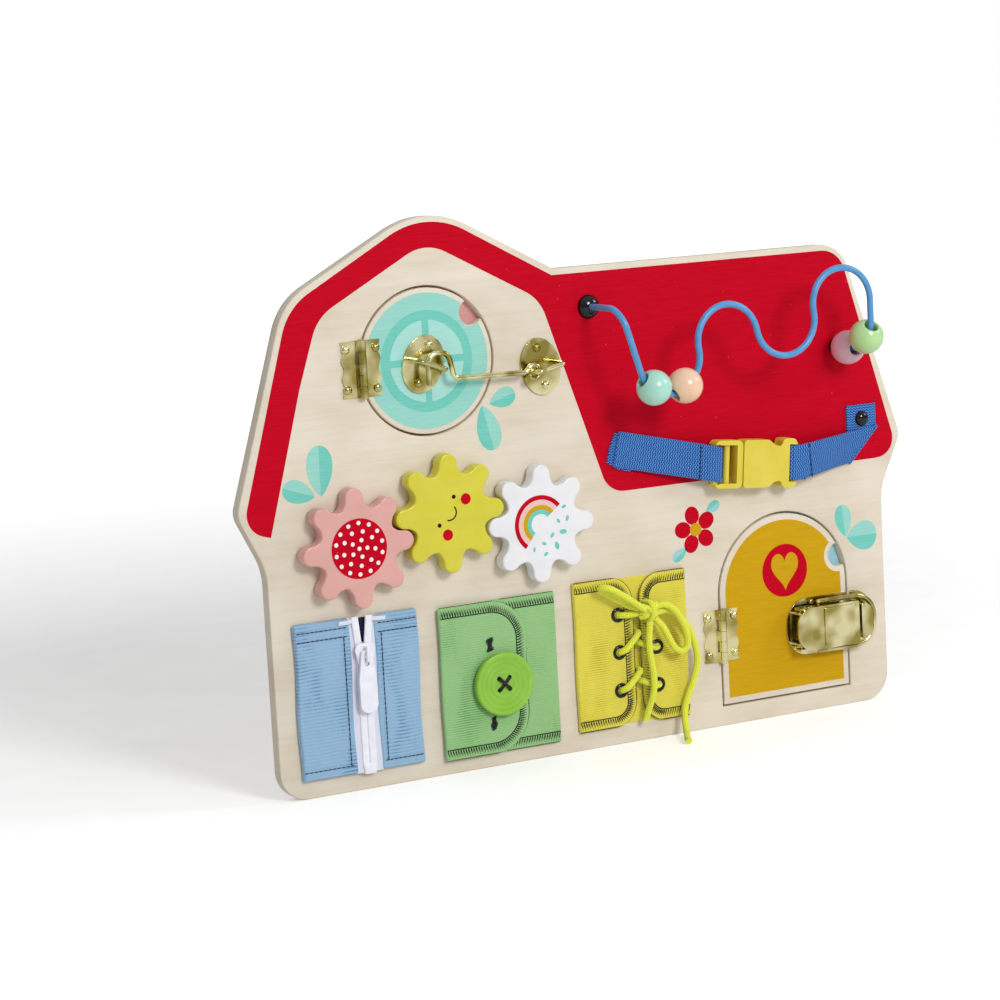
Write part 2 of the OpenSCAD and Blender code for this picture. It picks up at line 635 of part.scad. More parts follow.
zip_x = -146.5;
button_x = -62.3;
lace_x = 21.2;
zip_z = 10;
button_z = 8;
lace_z = 10.5;
back_y = -0.8;
half_panel = panel_w / 2;

module cloth_backs() {
    color([0.12, 0.16, 0.38]) on_face() sheet(0, -back_y)
        rounded_box(zip_x - half_panel + 2, zip_x + half_panel - 2, zip_z + 1, zip_z + panel_h - 1, 1);
    color([0.47, 0.76, 0.47]) on_face() sheet(0, -back_y)
        rounded_box(button_x - half_panel + 2, button_x + half_panel - 2, button_z + 1, button_z + panel_h - 1, 1);
    color([0.85, 0.79, 0.24]) on_face() sheet(0, -back_y)
        rounded_box(lace_x - half_panel + 2, lace_x + half_panel - 2, lace_z + 1, lace_z + panel_h - 1, 1);
}

// Zip: the tapes run between the flaps, and open in a V above the slider
zip_line_x = -143.5;
zip_half = 7.8;
tape_y = -2.2;
tape_t = 0.6;
slider_z = 74;
slider_l = 12;
zip_top = zip_z + panel_h;
v_open = 2.6;
tape_in = 1.3;
// Edge of the open tape at height z, from the zip's line
function v_edge(z) = tape_in + v_open * (z - slider_z - 2) / (zip_top - slider_z - 2);
tooth_pitch_z = 2.4;
tooth_h = 1.3;

// Blue flap with folded hems, from x0 to x1
module zip_flap(x0, x1) color([0.55, 0.71, 0.85]) on_face() {
    sheet(back_y, 2.4) rounded_box(x0, x1, zip_z, zip_top, 2);
    sheet(back_y - 2.4, 0.4) rounded_box(x0 + 1, x1 - 1, zip_z + 5, zip_top - 9, 1);
}
module zip_flap_left() zip_flap(zip_x - half_panel, zip_line_x - zip_half);
module zip_flap_right() zip_flap(zip_line_x + zip_half, zip_x + half_panel);

module zip_tapes() color(zip_white) on_face() for (s = [-1, 1]) sheet(tape_y, tape_t)
    translate([zip_line_x, 0]) polygon([[s * zip_half, zip_z], [s * tape_in, zip_z + 2], [s * tape_in, slider_z + 2],
        [s * v_edge(zip_top), zip_top], [s * zip_half, zip_top]]);

// Teeth of one side: closed below the slider, spread along the V above it
module zip_row(s) {
    closed_n = floor((slider_z - zip_z - 6) / tooth_pitch_z);
    sheet(tape_y + 0.7, 2) translate([zip_line_x, 0])
        polygon([[s * 0.75, zip_z + 4], [s * tape_in, zip_z + 4], [s * tape_in, slider_z + 2],
            [s * v_edge(zip_top - 1), zip_top - 1], [s * (v_edge(zip_top - 1) - 0.55), zip_top - 1],
            [s * 0.75, slider_z + 1.4]]);
    for (i = [0:closed_n - 1]) sheet(tape_y + 0.7, 2) translate([zip_line_x + min(0, s * 1.3) - (s < 0 ? 0 : 0.55),
        zip_z + 4.3 + (i + (s > 0 ? 0.5 : 0)) * tooth_pitch_z]) square([1.85, tooth_h - 0.2]);
}
module zip_chain() color(zip_white) on_face() {
    zip_row(-1);
    zip_row(1);
    // bottom stop
    sheet(tape_y + 0.7, 2.6) translate([zip_line_x - 1.25, zip_z + 0.8]) square([2.5, 2.6]);
}

// Slider: two wings over and under the chain, joined by a wedge between the open tapes
slider_w = 12;
slider_foot = 7.4;
wing_front_y = -4.6;
module zip_slider() color(zip_white) on_face() {
    outline = rounded([[zip_line_x - slider_foot / 2, slider_z - slider_l / 2, 2], [zip_line_x + slider_foot / 2, slider_z - slider_l / 2, 2],
        [zip_line_x + slider_w / 2, slider_z + slider_l / 2 - 3, 3.5], [zip_line_x + slider_w / 2 - 2, slider_z + slider_l / 2, 2],
        [zip_line_x - slider_w / 2 + 2, slider_z + slider_l / 2, 2], [zip_line_x - slider_w / 2, slider_z + slider_l / 2 - 3, 3.5]]);
    sheet(wing_front_y, 1.2) polygon(outline);
    sheet(back_y - 0.1, 0.5) polygon(outline);
    sheet(back_y - 0.5, -wing_front_y + back_y + 0.5) polygon([[zip_line_x, slider_z + 2.4],
        [zip_line_x + 0.5, slider_z + slider_l / 2], [zip_line_x - 0.5, slider_z + slider_l / 2]]);
    // bridge that holds the pull
    bent_rod([[zip_line_x, wing_front_y - 1, slider_z + 4], [zip_line_x, pull_y - 1.9, slider_z + 4],
        [zip_line_x, pull_y - 1.9, slider_z - 3.2], [zip_line_x, wing_front_y - 1, slider_z - 3.2]], 0.8, [0, 1, 1, 0]);
}

pull_y = -7.1;
pull_l = 34;
pull_w = 10.4;
pull_top = slider_z + 2.6;
module zip_pull() color(zip_white) on_face() difference() {
    sheet(pull_y + 0.7, 1.4) polygon(rounded([[zip_line_x - 3, pull_top, 2], [zip_line_x - pull_w / 2, pull_top - 16, 6],
        [zip_line_x - pull_w / 2, pull_top - pull_l, 4.8], [zip_line_x + pull_w / 2, pull_top - pull_l, 4.8],
        [zip_line_x + pull_w / 2, pull_top - 16, 6], [zip_line_x + 3, pull_top, 2]]));
    sheet(pull_y + 2, 5) rounded_box(zip_line_x - 1.3, zip_line_x + 1.3, pull_top - 8.6, pull_top - 1.4, 1);
}

// Green flaps: the left one laps over the right one and is buttoned to it
button_at = [-62.6, 46.5];
flap_edge_x = -46;
under_y = back_y - 0.2;
over_y = under_y - cloth_t - 0.2;
slit_h = 40;

module button_flap_right() color([0.47, 0.76, 0.47]) on_face() {
    sheet(under_y, cloth_t) rounded_box(button_x - 12, button_x + half_panel, button_z, button_z + panel_h, 1.5);
}
module button_flap_left() color([0.47, 0.76, 0.47]) on_face() {
    sheet(over_y, cloth_t) difference() {
        polygon(rounded([[button_x - half_panel, button_z, 1.5], [flap_edge_x, button_z, 22],
            [flap_edge_x, button_z + panel_h, 22], [button_x - half_panel, button_z + panel_h, 1.5]]));
        translate([button_at[0] - 2.4, button_at[1] - slit_h / 2]) square([4.8, slit_h]);
    }
    // the cloth turns back at its left side
    sheet(back_y, over_y - back_y < 0 ? back_y - over_y : 0.1)
        rounded_box(button_x - half_panel, button_x - half_panel + 1.9, button_z, button_z + panel_h, 0.5);
}

button_back = over_y - cloth_t - 0.9;
hole_out = 3.2;
thread_r = 0.7;
module button() color([0.49, 0.78, 0.24]) on_face() translate([button_at[0], button_back, button_at[1]])
    rotate([90, 0, 0]) difference() {
        rotate_extrude($fn = 96) polygon(concat([[0, 0], [button_r - 1, 0], [button_r, 1]],
            [for (i = [0:6]) let (a = 15 * i) [button_r - 1.2 + 1.2 * cos(a), button_t - 1.2 + 1.2 * sin(a)]],
            [[button_r - 4.2, button_t - 0.5], [button_r - 6, button_t - 1], [0, button_t - 1]]));
        for (x = [-1, 1], y = [-1, 1]) translate([x * hole_out, y * hole_out, -1]) cylinder(h = button_t + 2, r = 1.25);
    }

// Thread: a shank through the buttonhole, and a cross over the four holes
module button_thread() color(black) on_face() {
    x = button_at[0];
    z = button_at[1];
    top = button_back - button_t + 1 - thread_r - 0.1;
    peg(button_at, under_y - cloth_t, button_back, 2);
    for (s = [-1, 1]) let (y0 = button_back + 0.1, y1 = top - (s > 0 ? 0 : 1.6), a = [x - hole_out, y0, z - s * hole_out],
        b = [a[0], y1, a[2]], c = [x + hole_out, y1, z + s * hole_out], d = [c[0], y0, c[2]])
        tube(concat([a], bend_path(a, b, c, 1), bend_path(b, c, d, 1), [d]), thread_r);
}

// Yellow flaps, laced together through six eyelets
eyelet_x = 12;
lace_mid_x = 24.5;
lace_gap = 2;
eyelet_z = [31, 52.5, 73.6];
eyelet_hole_r = 2.3;
eyelet_at = [for (s = [-1, 1], z = eyelet_z) [lace_mid_x + s * eyelet_x, z]];

// One yellow flap, from its outer side x0 to its edge x1 on the lace line
module lace_flap(x0, x1) color([0.85, 0.79, 0.24]) on_face() sheet(back_y, cloth_t + 0.8) difference() {
    polygon(rounded(x0 < x1
        ? [[x0, lace_z, 1.5], [x1, lace_z, 14], [x1, lace_z + panel_h, 14], [x0, lace_z + panel_h, 1.5]]
        : [[x1, lace_z, 14], [x0, lace_z, 1.5], [x0, lace_z + panel_h, 1.5], [x1, lace_z + panel_h, 14]]));
    for (c = eyelet_at) translate(c) circle(r = eyelet_hole_r + 0.6);
}
module lace_flap_left() lace_flap(lace_x - half_panel, lace_mid_x - lace_gap);
module lace_flap_right() lace_flap(lace_x + half_panel, lace_mid_x + lace_gap);

flap_front = back_y - cloth_t - 0.8;
module eyelets() color(black) on_face() for (c = eyelet_at) translate([c[0], flap_front, c[1]]) rotate([90, 0, 0])
    rotate_extrude() union() {
        translate([eyelet_hole_r, 0]) square([1.9, 0.8]);
        translate([eyelet_hole_r, flap_front - back_y]) square([0.6, back_y - flap_front]);
    }

// ---- lace: routes are [x, y, z] from the board's face ----

knot_at = [28.5, -8.6, 74.5];

module knot_shape() translate(knot_at) intersection() {
    sphere(r = 6.6, $fn = 32);
    translate([-5.6, -4.6, -4.4]) cube([11.2, 8, 8.8]);
}

// Six strands: four from an eyelet up to the lace line, and two to the knot
module lace_lacing() color(lace_yellow) on_face() {
    for (i = [0, 1]) {
        z = eyelet_z[i];
        tube([[12.5, -1.2, z], [12.8, -4.2, z + 0.4], [15, -6, z + 2], [18.8, -6, z + 5.2], [22.4, -5.7, z + 8.6],
            [24.2, -4.2, z + 9.8], [24.5, -2.4, z + 10], [24.5, -1.1, z + 10]], lace_r - 0.1);
        tube([[36.5, -1.2, z], [36.2, -4.2, z + 0.3], [33.8, -6, z + 0.4], [30.4, -6, z + 1.6], [26.8, -5.7, z + 3.2],
            [24.8, -4.2, z + 4], [24.5, -2.4, z + 4.2], [24.5, -1.1, z + 4.2]], lace_r - 0.1);
    }
    z = eyelet_z[2];
    difference() {
        tube([[12.5, -1.2, z], [12.8, -4.4, z], [15.4, -6.4, z], [18.6, -7, z], [24, -7.4, z + 0.3]], lace_r - 0.1);
        knot_shape();
    }
    difference() {
        tube([[36.5, -1.2, z], [36.3, -3.6, z], [35.4, -5.4, z - 0.6], [33, -6.2, z - 0.4]], lace_r - 0.1);
        knot_shape();
    }
}

// Knot: a flattened lump where the bow is tied
module lace_knot() color(lace_yellow) on_face() knot_shape();

loop_right_route = [[31, -9.6, 75.4], [34.2, -10.8, 77.2], [37.8, -12.2, 77.4], [41.4, -13, 75.4], [44.8, -13.4, 71.4],
    [47.8, -13.2, 66.4], [50, -12.8, 61], [51.2, -12.4, 55.8], [50.4, -12, 51.6], [47.2, -11.6, 49.8],
    [43.8, -11.2, 51.6], [41.2, -11, 55.4], [38.8, -11, 60.2], [36.4, -10.8, 64.8], [33.6, -10, 68.4],
    [31, -9.4, 71.4]];
loop_left_route = [[27, -11, 75], [23.2, -12.2, 77.2], [19.4, -13, 79.8], [15.4, -13.6, 82.6], [11, -14, 85.6],
    [6.6, -14.2, 88.4], [2.6, -14.2, 90.8], [-0.6, -13, 91.8], [-1.8, -10.8, 91.2], [-0.2, -9, 89.4],
    [3.4, -8.4, 87], [7.8, -8.2, 84], [12.2, -8.2, 81.4], [16.4, -8.4, 79.2], [20.6, -8.8, 77.6],
    [26, -9, 75.6]];
long_route = [[30.4, -9.4, 73.4], [34.6, -9.5, 73.4], [38.6, -9.2, 73.8], [42.8, -8.6, 72.8], [47.4, -8, 70],
    [51.8, -7.8, 65.6], [55.6, -7.4, 59.6], [58.6, -7, 52.6], [60.2, -6.6, 45], [59.6, -6.2, 37.4], [57, -6, 30],
    [53.6, -6, 23], [50.8, -6.4, 15.8], [49.6, -8, 9], [47.8, -12.2, 3.4], [44.4, -18.6, 1.8],
    [40.8, -25.6, 1.8]];
short_route = [[28.8, -10, 72.4], [28.4, -10.2, 69], [28, -10.2, 64.6], [27.4, -10, 58.6], [27.6, -10, 52],
    [28.6, -10, 45.4], [29.4, -10, 38.6], [29.4, -9.9, 31.8], [28.4, -8.8, 25], [26.8, -7, 18.6], [25.2, -5.8, 12.6]];

module lace_loop_right() color(lace_yellow) on_face() difference() {
    tube(loop_right_route, lace_r);
    knot_shape();
}
module lace_loop_left() color(lace_yellow) on_face() difference() {
    tube(loop_left_route, lace_r);
    knot_shape();
}
module lace_end_long() color(lace_yellow) on_face() difference() {
    tube(long_route, lace_r);
    knot_shape();
}
module lace_end_short() color(lace_yellow) on_face() difference() {
    tube(short_route, lace_r);
    knot_shape();
}

// ---- strap and buckle ----

buckle_tilt = -5;
strap_tilt = -13.3;
buckle_at = [101, 149];
buckle_y = -7.2;
seam_x = -7.5;
strap_slot = 3;
bar_t = 3.4;
rim_w = 3.2;
strap_left_start = [17, 165.6];
rivet_right = [181, 165.8];
strap_rivet_at = [[26, 163.4], rivet_right];

// Draws in the buckle's own frame: x along the buckle, z up, y as the board
module buckle_frame() on_face() translate([buckle_at[0], buckle_y, buckle_at[1]]) rotate([0, -buckle_tilt, 0]) children();

// Female half: a hollow shell with side windows and a bar for the right strap
shell_wall = 1.6;
window_x = seam_x + shell_l - 8.5;
shell_x1 = seam_x + shell_l;
module buckle_female() color(plastic_yellow) buckle_frame() difference() {
    translate([0, buckle_t / 2, 0]) rotate([90, 0, 0]) linear_extrude(buckle_t) polygon(rounded([
        [seam_x, -buckle_w / 2, 2], [window_x - 5, -buckle_w / 2, 4], [window_x - 1, -buckle_w / 2 + 3, 3],
        [window_x + 3.5, -buckle_w / 2 + 4, 2], [window_x + 5, -buckle_w / 2 - 0.5, 2.5], [shell_x1 + 4, -buckle_w / 2 - 0.5, 3],
        [shell_x1 + 6, -buckle_w / 2 + 3, 3], [shell_x1 + 6, buckle_w / 2 - 3, 3],
        [shell_x1 + 4, buckle_w / 2 + 0.5, 3], [window_x + 5, buckle_w / 2 + 0.5, 2.5], [window_x + 3.5, buckle_w / 2 - 4, 2],
        [window_x - 1, buckle_w / 2 - 3, 3], [window_x - 5, buckle_w / 2, 4], [seam_x, buckle_w / 2, 2]]));
    // the mouth that takes the prongs
    translate([seam_x - 1, -buckle_t / 2 + shell_wall, -buckle_w / 2 + shell_wall + 0.6])
        cube([shell_l - 6, buckle_t - 2 * shell_wall, buckle_w - 2 * shell_wall - 1.2]);
    // the side windows
    for (s = [-1, 1]) translate([window_x - 3.5, -buckle_t / 2 + shell_wall, s > 0 ? buckle_w / 2 - 7 : -buckle_w / 2 - 1])
        cube([8, buckle_t - 2 * shell_wall, 8]);
    // the slot for the strap, and the room before and behind its thin bar
    translate([shell_x1 + 0.4, -buckle_t, -strap_w / 2 - 0.6]) cube([strap_slot, 2 * buckle_t, strap_w + 1.2]);
    for (y = [-buckle_t, bar_t / 2]) translate([shell_x1 + 0.4 + strap_slot - 0.1, y, -strap_w / 2 - 0.6])
        cube([4, buckle_t - bar_t / 2, strap_w + 1.2]);
}

// Male half: ladder frame with ribbed bars, and a tongue between the prongs
frame_x0 = seam_x - 18.5;
module buckle_male() color(plastic_yellow) buckle_frame() {
    difference() {
        translate([0, buckle_t / 2 - 0.6, 0]) rotate([90, 0, 0]) linear_extrude(buckle_t - 1.2)
            rounded_box(frame_x0, seam_x - 0.3, -buckle_w / 2, buckle_w / 2, 3.5);
        translate([frame_x0 + rim_w, -buckle_t, -strap_w / 2 - 0.8]) cube([11.2, 2 * buckle_t, strap_w + 1.6]);
        // room for the webbing before and behind the rim
        for (y = [-buckle_t, bar_t / 2]) translate([frame_x0 - 1, y, -strap_w / 2 - 1.2])
            cube([rim_w + 1.1, buckle_t - bar_t / 2, strap_w + 2.4]);
    }
    // two bars across the opening, the front one ribbed
    for (x = [frame_x0 + 9.4]) translate([x, 0, -strap_w / 2 - 1]) cylinder(h = strap_w + 2, r = 1.9);
    for (i = [-4:4]) translate([frame_x0 + 9.4, -1.4, 2.3 * i - 0.6]) rotate([0, 0, 45]) cube([1.3, 1.3, 1.2]);
    // the centre tongue
    translate([seam_x - 1, -1.4, -3.2]) cube([19, 2.8, 6.4]);
}

// Springy side prongs: they bend in when the buckle is pressed
module buckle_prongs() color(plastic_yellow) buckle_frame() for (s = [-1, 1]) mirror([0, 0, s > 0 ? 0 : 1])
    translate([0, 2.1, 0]) rotate([90, 0, 0]) linear_extrude(4.2) polygon(rounded([
        [seam_x - 0.3, 5.4, 0], [window_x - 4, 6.2, 3], [window_x + 1, 7.2, 2], [window_x + 3.4, 7.4, 0.8],
        [window_x + 3.4, 9.6, 1], [window_x - 1.5, 10.4, 1], [window_x - 5, 9, 3],
        [seam_x - 0.3, 8.4, 0]]));

// Webbing skin of thickness t between two edge lines, a and b
module webbing(a, b, t) {
    n = len(a);
    up = [for (i = [0:n - 1]) let (i0 = max(i - 1, 0), i1 = min(i + 1, n - 1))
        unit(cross(b[i] - a[i], a[i1] - a[i0] + b[i1] - b[i0])) * t / 2];
    polyhedron([for (i = [0:n - 1]) each [a[i] + up[i], b[i] + up[i], b[i] - up[i], a[i] - up[i]]],
        concat([[0, 1, 2], [0, 2, 3], [4 * n - 2, 4 * n - 3, 4 * n - 4], [4 * n - 1, 4 * n - 2, 4 * n - 4]],
            [for (i = [0:n - 2], k = [0:3]) let (p = 4 * i + k, q = 4 * i + (k + 1) % 4)
                each [[q, p, p + 4], [q, p + 4, q + 4]]]));
}
function across(angle) = [-sin(angle), 0, cos(angle)];

// Bar gap: the webbing's middle line passes this far from the middle of a thin bar
lap_y = bar_t / 2 + 0.3 + strap_t / 2;

// Left strap: off the board, over the buckle's rim, round it, and back to the seam. Rows are [s, y]
left_path = [[0, -1.9], [8, -1.95], [16, -2.25], [24, -2.9], [32, -3.9], [40, -5.3], [47, -6.9], [52, -8.1], [56, -9.1],
    [59, -9.75], [61.5, buckle_y - lap_y], [63.6, -9.7], [64.9, -8.9], [65.4, -7.7], [65.4, -6.7], [64.9, -5.5],
    [63.6, -4.7], [61.5, buckle_y + lap_y], [59, -4.6], [56.5, -5.2], [54.5, -6], [52.5, -6.6], [50.5, -6.2]];
left_turn_s = 59.5;
module strap_left() color(webbing_blue) on_face() {
    way = [cos(strap_tilt), 0, sin(strap_tilt)];
    mid = [for (p = left_path) [strap_left_start[0], p[1], strap_left_start[1]] + p[0] * way];
    side = [for (p = left_path) across(strap_tilt + (buckle_tilt - strap_tilt) * min(1, p[0] / left_turn_s)) * strap_w / 2];
    webbing([for (i = [0:len(mid) - 1]) mid[i] - side[i]], [for (i = [0:len(mid) - 1]) mid[i] + side[i]], strap_t);
}

// Right strap: down from its rivet, folded over on the diagonal, and on to the buckle's bar.
// Rows of right_path are [t, y], where t is 0 at the fold and 1 just outside the buckle
fold_x0 = rivet_right[0] - strap_w / 2;
fold_z0 = 141;
slot_x = shell_x1 + 0.4 + strap_slot / 2;
run_end = 30;
function on_buckle(x) = [buckle_at[0] + x * cos(buckle_tilt), 0, buckle_at[1] + x * sin(buckle_tilt)];
fold_low = [fold_x0, 0, fold_z0];
fold_high = fold_low + strap_w * [1, 0, 1];
function right_low(t) = fold_low * (1 - t) + (on_buckle(run_end) - across(buckle_tilt) * strap_w / 2) * t;
function right_high(t) = fold_high * (1 - t) + (on_buckle(run_end) + across(buckle_tilt) * strap_w / 2) * t;
function right_rise(t) = -1.5 * strap_t + (buckle_y - lap_y + 1.5 * strap_t) * (1 - cos(180 * t)) / 2;
// round the bar: rows are [x along the buckle, y]
bar_turn = [[28.4, buckle_y - lap_y], [26.3, -9.8], [25, -9.15], [slot_x, -7.9], [slot_x, -6.5], [25, -5.2], [26.3, -4.6],
    [28.4, buckle_y + lap_y + 0.05], [30.6, -5.2], [32.6, -6.5], [34.6, -7.75], [36.6, -8]];
module strap_right() color(webbing_blue) on_face() {
    sheet(0, strap_t) difference() {
        polygon([[fold_x0, fold_z0], [fold_x0 + strap_w, fold_z0 + strap_w], [fold_x0 + strap_w, rivet_right[1] + 8],
            [fold_x0, rivet_right[1] + 8]]);
        translate(rivet_right) circle(r = nail_shank_r);
    }
    // the rolled edge of the fold
    rod([fold_x0, -strap_t, fold_z0], [fold_x0 + strap_w, -strap_t, fold_z0 + strap_w], strap_t);
    ts = [for (i = [0:9]) i / 9];
    low = concat([for (t = ts) right_low(t) + [0, right_rise(t), 0]],
        [for (p = bar_turn) on_buckle(p[0]) - across(buckle_tilt) * strap_w / 2 + [0, p[1], 0]]);
    high = concat([for (t = ts) right_high(t) + [0, right_rise(t), 0]],
        [for (p = bar_turn) on_buckle(p[0]) + across(buckle_tilt) * strap_w / 2 + [0, p[1], 0]]);
    webbing(high, low, strap_t);
}

module strap_rivets() color(black) on_face() {
    translate([strap_rivet_at[0][0], 0, strap_rivet_at[0][1]]) rotate([90, 0, 0]) cylinder(h = 1, r = 4.4);
    peg(strap_rivet_at[0], 0, 4.4, nail_shank_r);
    dome_nail(rivet_right, strap_t, 4.4);
}

front_panel();
back_panel();
window_frame_leaf();
barn_frame_leaf();
hinge_pins();
frame_nails();
hook_plate_frame();
latch_catch();
bead_wire();
wire_collars();
gear_washers();
cloth_backs();
zip_flap_left();
zip_flap_right();
zip_tapes();
zip_chain();
button_flap_left();
button_flap_right();
lace_flap_left();
lace_flap_right();
eyelets();
lace_lacing();
lace_knot();
lace_loop_left();
lace_loop_right();
lace_end_long();
lace_end_short();
strap_left();
strap_right();
strap_rivets();
buckle_female();
window_door();
window_door_leaf();
window_nails();
hook_plate_door();
cabin_hook();
barn_door();
barn_door_leaf();
barn_nails();
latch_base();
latch_pin();
latch_lever();
latch_hasp();
gear_left();
gear_mid();
gear_right();
axle_left();
axle_mid();
axle_right();
bead_mint();
bead_peach();
bead_green();
bead_pink();
zip_slider();
zip_pull();
button();
button_thread();
buckle_male();
buckle_prongs();
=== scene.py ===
"""Looks of the wooden busy board: finishes, prints, cloth panels, lace and webbing.

Lengths are in millimetres until to_frame() makes them metres. x runs along the board and z is
up from its bottom edge. y is measured from the front face of the board, and is negative
towards the viewer.
"""
import json

import bmesh
import bpy
import numpy as np
from mathutils import Matrix, Vector
from mathutils.geometry import tessellate_polygon

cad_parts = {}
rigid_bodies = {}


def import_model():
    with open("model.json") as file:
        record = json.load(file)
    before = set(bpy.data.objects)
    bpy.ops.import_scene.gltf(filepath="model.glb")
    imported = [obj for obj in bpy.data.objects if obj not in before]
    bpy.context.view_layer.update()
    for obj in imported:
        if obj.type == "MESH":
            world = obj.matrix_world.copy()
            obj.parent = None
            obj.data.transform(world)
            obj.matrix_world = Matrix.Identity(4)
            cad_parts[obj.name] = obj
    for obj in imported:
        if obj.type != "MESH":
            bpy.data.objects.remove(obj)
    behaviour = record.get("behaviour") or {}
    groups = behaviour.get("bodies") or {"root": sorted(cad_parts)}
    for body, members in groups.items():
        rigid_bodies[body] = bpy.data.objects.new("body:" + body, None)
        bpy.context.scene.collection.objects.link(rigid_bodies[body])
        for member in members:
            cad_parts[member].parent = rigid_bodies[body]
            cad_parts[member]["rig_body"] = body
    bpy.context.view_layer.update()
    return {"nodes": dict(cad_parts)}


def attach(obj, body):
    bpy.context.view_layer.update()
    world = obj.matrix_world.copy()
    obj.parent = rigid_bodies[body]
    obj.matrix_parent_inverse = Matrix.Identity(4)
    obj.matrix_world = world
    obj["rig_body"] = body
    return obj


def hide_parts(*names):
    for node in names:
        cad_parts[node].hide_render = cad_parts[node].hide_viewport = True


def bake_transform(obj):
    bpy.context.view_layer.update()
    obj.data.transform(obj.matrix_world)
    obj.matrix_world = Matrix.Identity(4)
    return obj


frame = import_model()
scene = bpy.context.scene
FACE = -4.0  # the front face of the board in the row frame
OUTWARD = (0.0, -1.0, 0.0)  # from the board to the viewer


def to_frame(points):
    """Millimetres from the board's face to metres in the row frame."""
    return (np.asarray(points, float) + (0.0, FACE, 0.0)) * 0.001


# ---- camera and lamps ----

def aim(obj, place, right, up, look):
    """Turns obj so that its own x, y and -z lie along right, up and look."""
    obj.matrix_world = Matrix([
        [right[i], up[i], -look[i], place[i]] for i in range(3)] + [[0, 0, 0, 1]])


# where the photograph was taken from, in metres, and the three ways of the camera there
CAMERA_PLACE = (-0.7725, -1.3767, 0.3680)
CAMERA_RIGHT = (0.8814, -0.4693, -0.0547)
CAMERA_UP = (0.1147, 0.1002, 0.9883)
CAMERA_LOOK = (0.4583, 0.8773, -0.1422)

camera = bpy.data.objects.new("camera", bpy.data.cameras.new("camera"))
scene.collection.objects.link(camera)
camera.data.lens = 104.4
camera.data.sensor_width = 36.0
aim(camera, CAMERA_PLACE, CAMERA_RIGHT, CAMERA_UP, CAMERA_LOOK)
scene.camera = camera


def soft_lamp(name, place, target, size, watts):
    """A square softbox that shines from place towards target."""
    lamp = bpy.data.objects.new(name, bpy.data.lights.new(name, "AREA"))
    lamp.data.size = size
    lamp.data.energy = watts
    lamp.location = place
    lamp.rotation_euler = (Vector(target) - Vector(place)).to_track_quat("-Z", "Y").to_euler()
    scene.collection.objects.link(lamp)


soft_lamp("key lamp", (0.2, -1.95, 1.1), (0.0, 0.0, 0.12), 0.55, 21)
soft_lamp("side lamp", (1.5, -0.8, 1.0), (0.0, 0.0, 0.15), 0.45, 5)


# ---- adding nodes and pieces ----

def hex_colour(code):
    """An sRGB hex colour as linear RGBA."""
    srgb = np.array([int(code[i:i + 2], 16) for i in (0, 2, 4)]) / 255
    linear = np.where(srgb <= 0.04045, srgb / 12.92, ((srgb + 0.055) / 1.055) ** 2.4)
    return (*linear, 1.0)


def add(tree, kind, inputs=None, **settings):
    """Adds a node with its settings. A value of inputs that is a socket is linked."""
    node = tree.nodes.new(kind)
    for key, value in settings.items():
        setattr(node, key, value)
    for key, value in (inputs or {}).items():
        if isinstance(value, bpy.types.NodeSocket):
            tree.links.new(value, node.inputs[key])
        else:
            node.inputs[key].default_value = value
    return node


def finish(name, roughness, **shader_inputs):
    """A new material with its shader: (material, its node tree, the shader)."""
    material = bpy.data.materials.new(name)
    material.use_nodes = True
    tree = material.node_tree
    shader = tree.nodes["Principled BSDF"]
    shader.inputs["Roughness"].default_value = roughness
    for key, value in shader_inputs.items():
        shader.inputs[key.replace("_", " ")].default_value = value
    return material, tree, shader


def two_tone(tree, shader, factor, low, high, start=0.0, end=1.0):
    """Colours the shader from low to high as factor goes from start to end."""
    ramp = add(tree, "ShaderNodeValToRGB", {"Fac": factor})
    ramp.color_ramp.elements[0].position, ramp.color_ramp.elements[1].position = start, end
    ramp.color_ramp.elements[0].color = hex_colour(low)
    ramp.color_ramp.elements[1].color = hex_colour(high)
    tree.links.new(ramp.outputs["Color"], shader.inputs["Base Color"])
    return ramp


def relief(tree, shader, height, millimetres):
    """Raises the surface by height times so many millimetres."""
    bump = add(tree, "ShaderNodeBump", {"Height": height, "Distance": millimetres * 0.001, "Strength": 1.0})
    tree.links.new(bump.outputs["Normal"], shader.inputs["Normal"])


def noise(tree, per_metre, detail=3.0, stretch=(1.0, 1.0, 1.0)):
    """Noise with so many cells to the metre, longer where stretch is under 1."""
    place = add(tree, "ShaderNodeTexCoord")
    mapping = add(tree, "ShaderNodeMapping", {"Vector": place.outputs["Object"], "Scale": stretch})
    return add(tree, "ShaderNodeTexNoise", {"Vector": mapping.outputs["Vector"], "Scale": per_metre,
                                            "Detail": detail}).outputs["Fac"]


def sum_of(tree, a, b, share):
    """a plus share times b."""
    return add(tree, "ShaderNodeMath", {0: b, 1: share, 2: a}, operation="MULTIPLY_ADD").outputs[0]


def wave(tree, coordinate, period_mm):
    """Sine of a coordinate in metres, with its period in millimetres."""
    turns = add(tree, "ShaderNodeMath", {0: coordinate, 1: 2000 * np.pi / period_mm},
                operation="MULTIPLY")
    return add(tree, "ShaderNodeMath", {0: turns.outputs[0]}, operation="SINE").outputs[0]


# ---- finishes ----

def wood_pores(tree):
    """The pores of birch: half a millimetre wide, drawn out 25 times along the board."""
    return noise(tree, 1900, 2.0, (0.04, 1.0, 1.0))


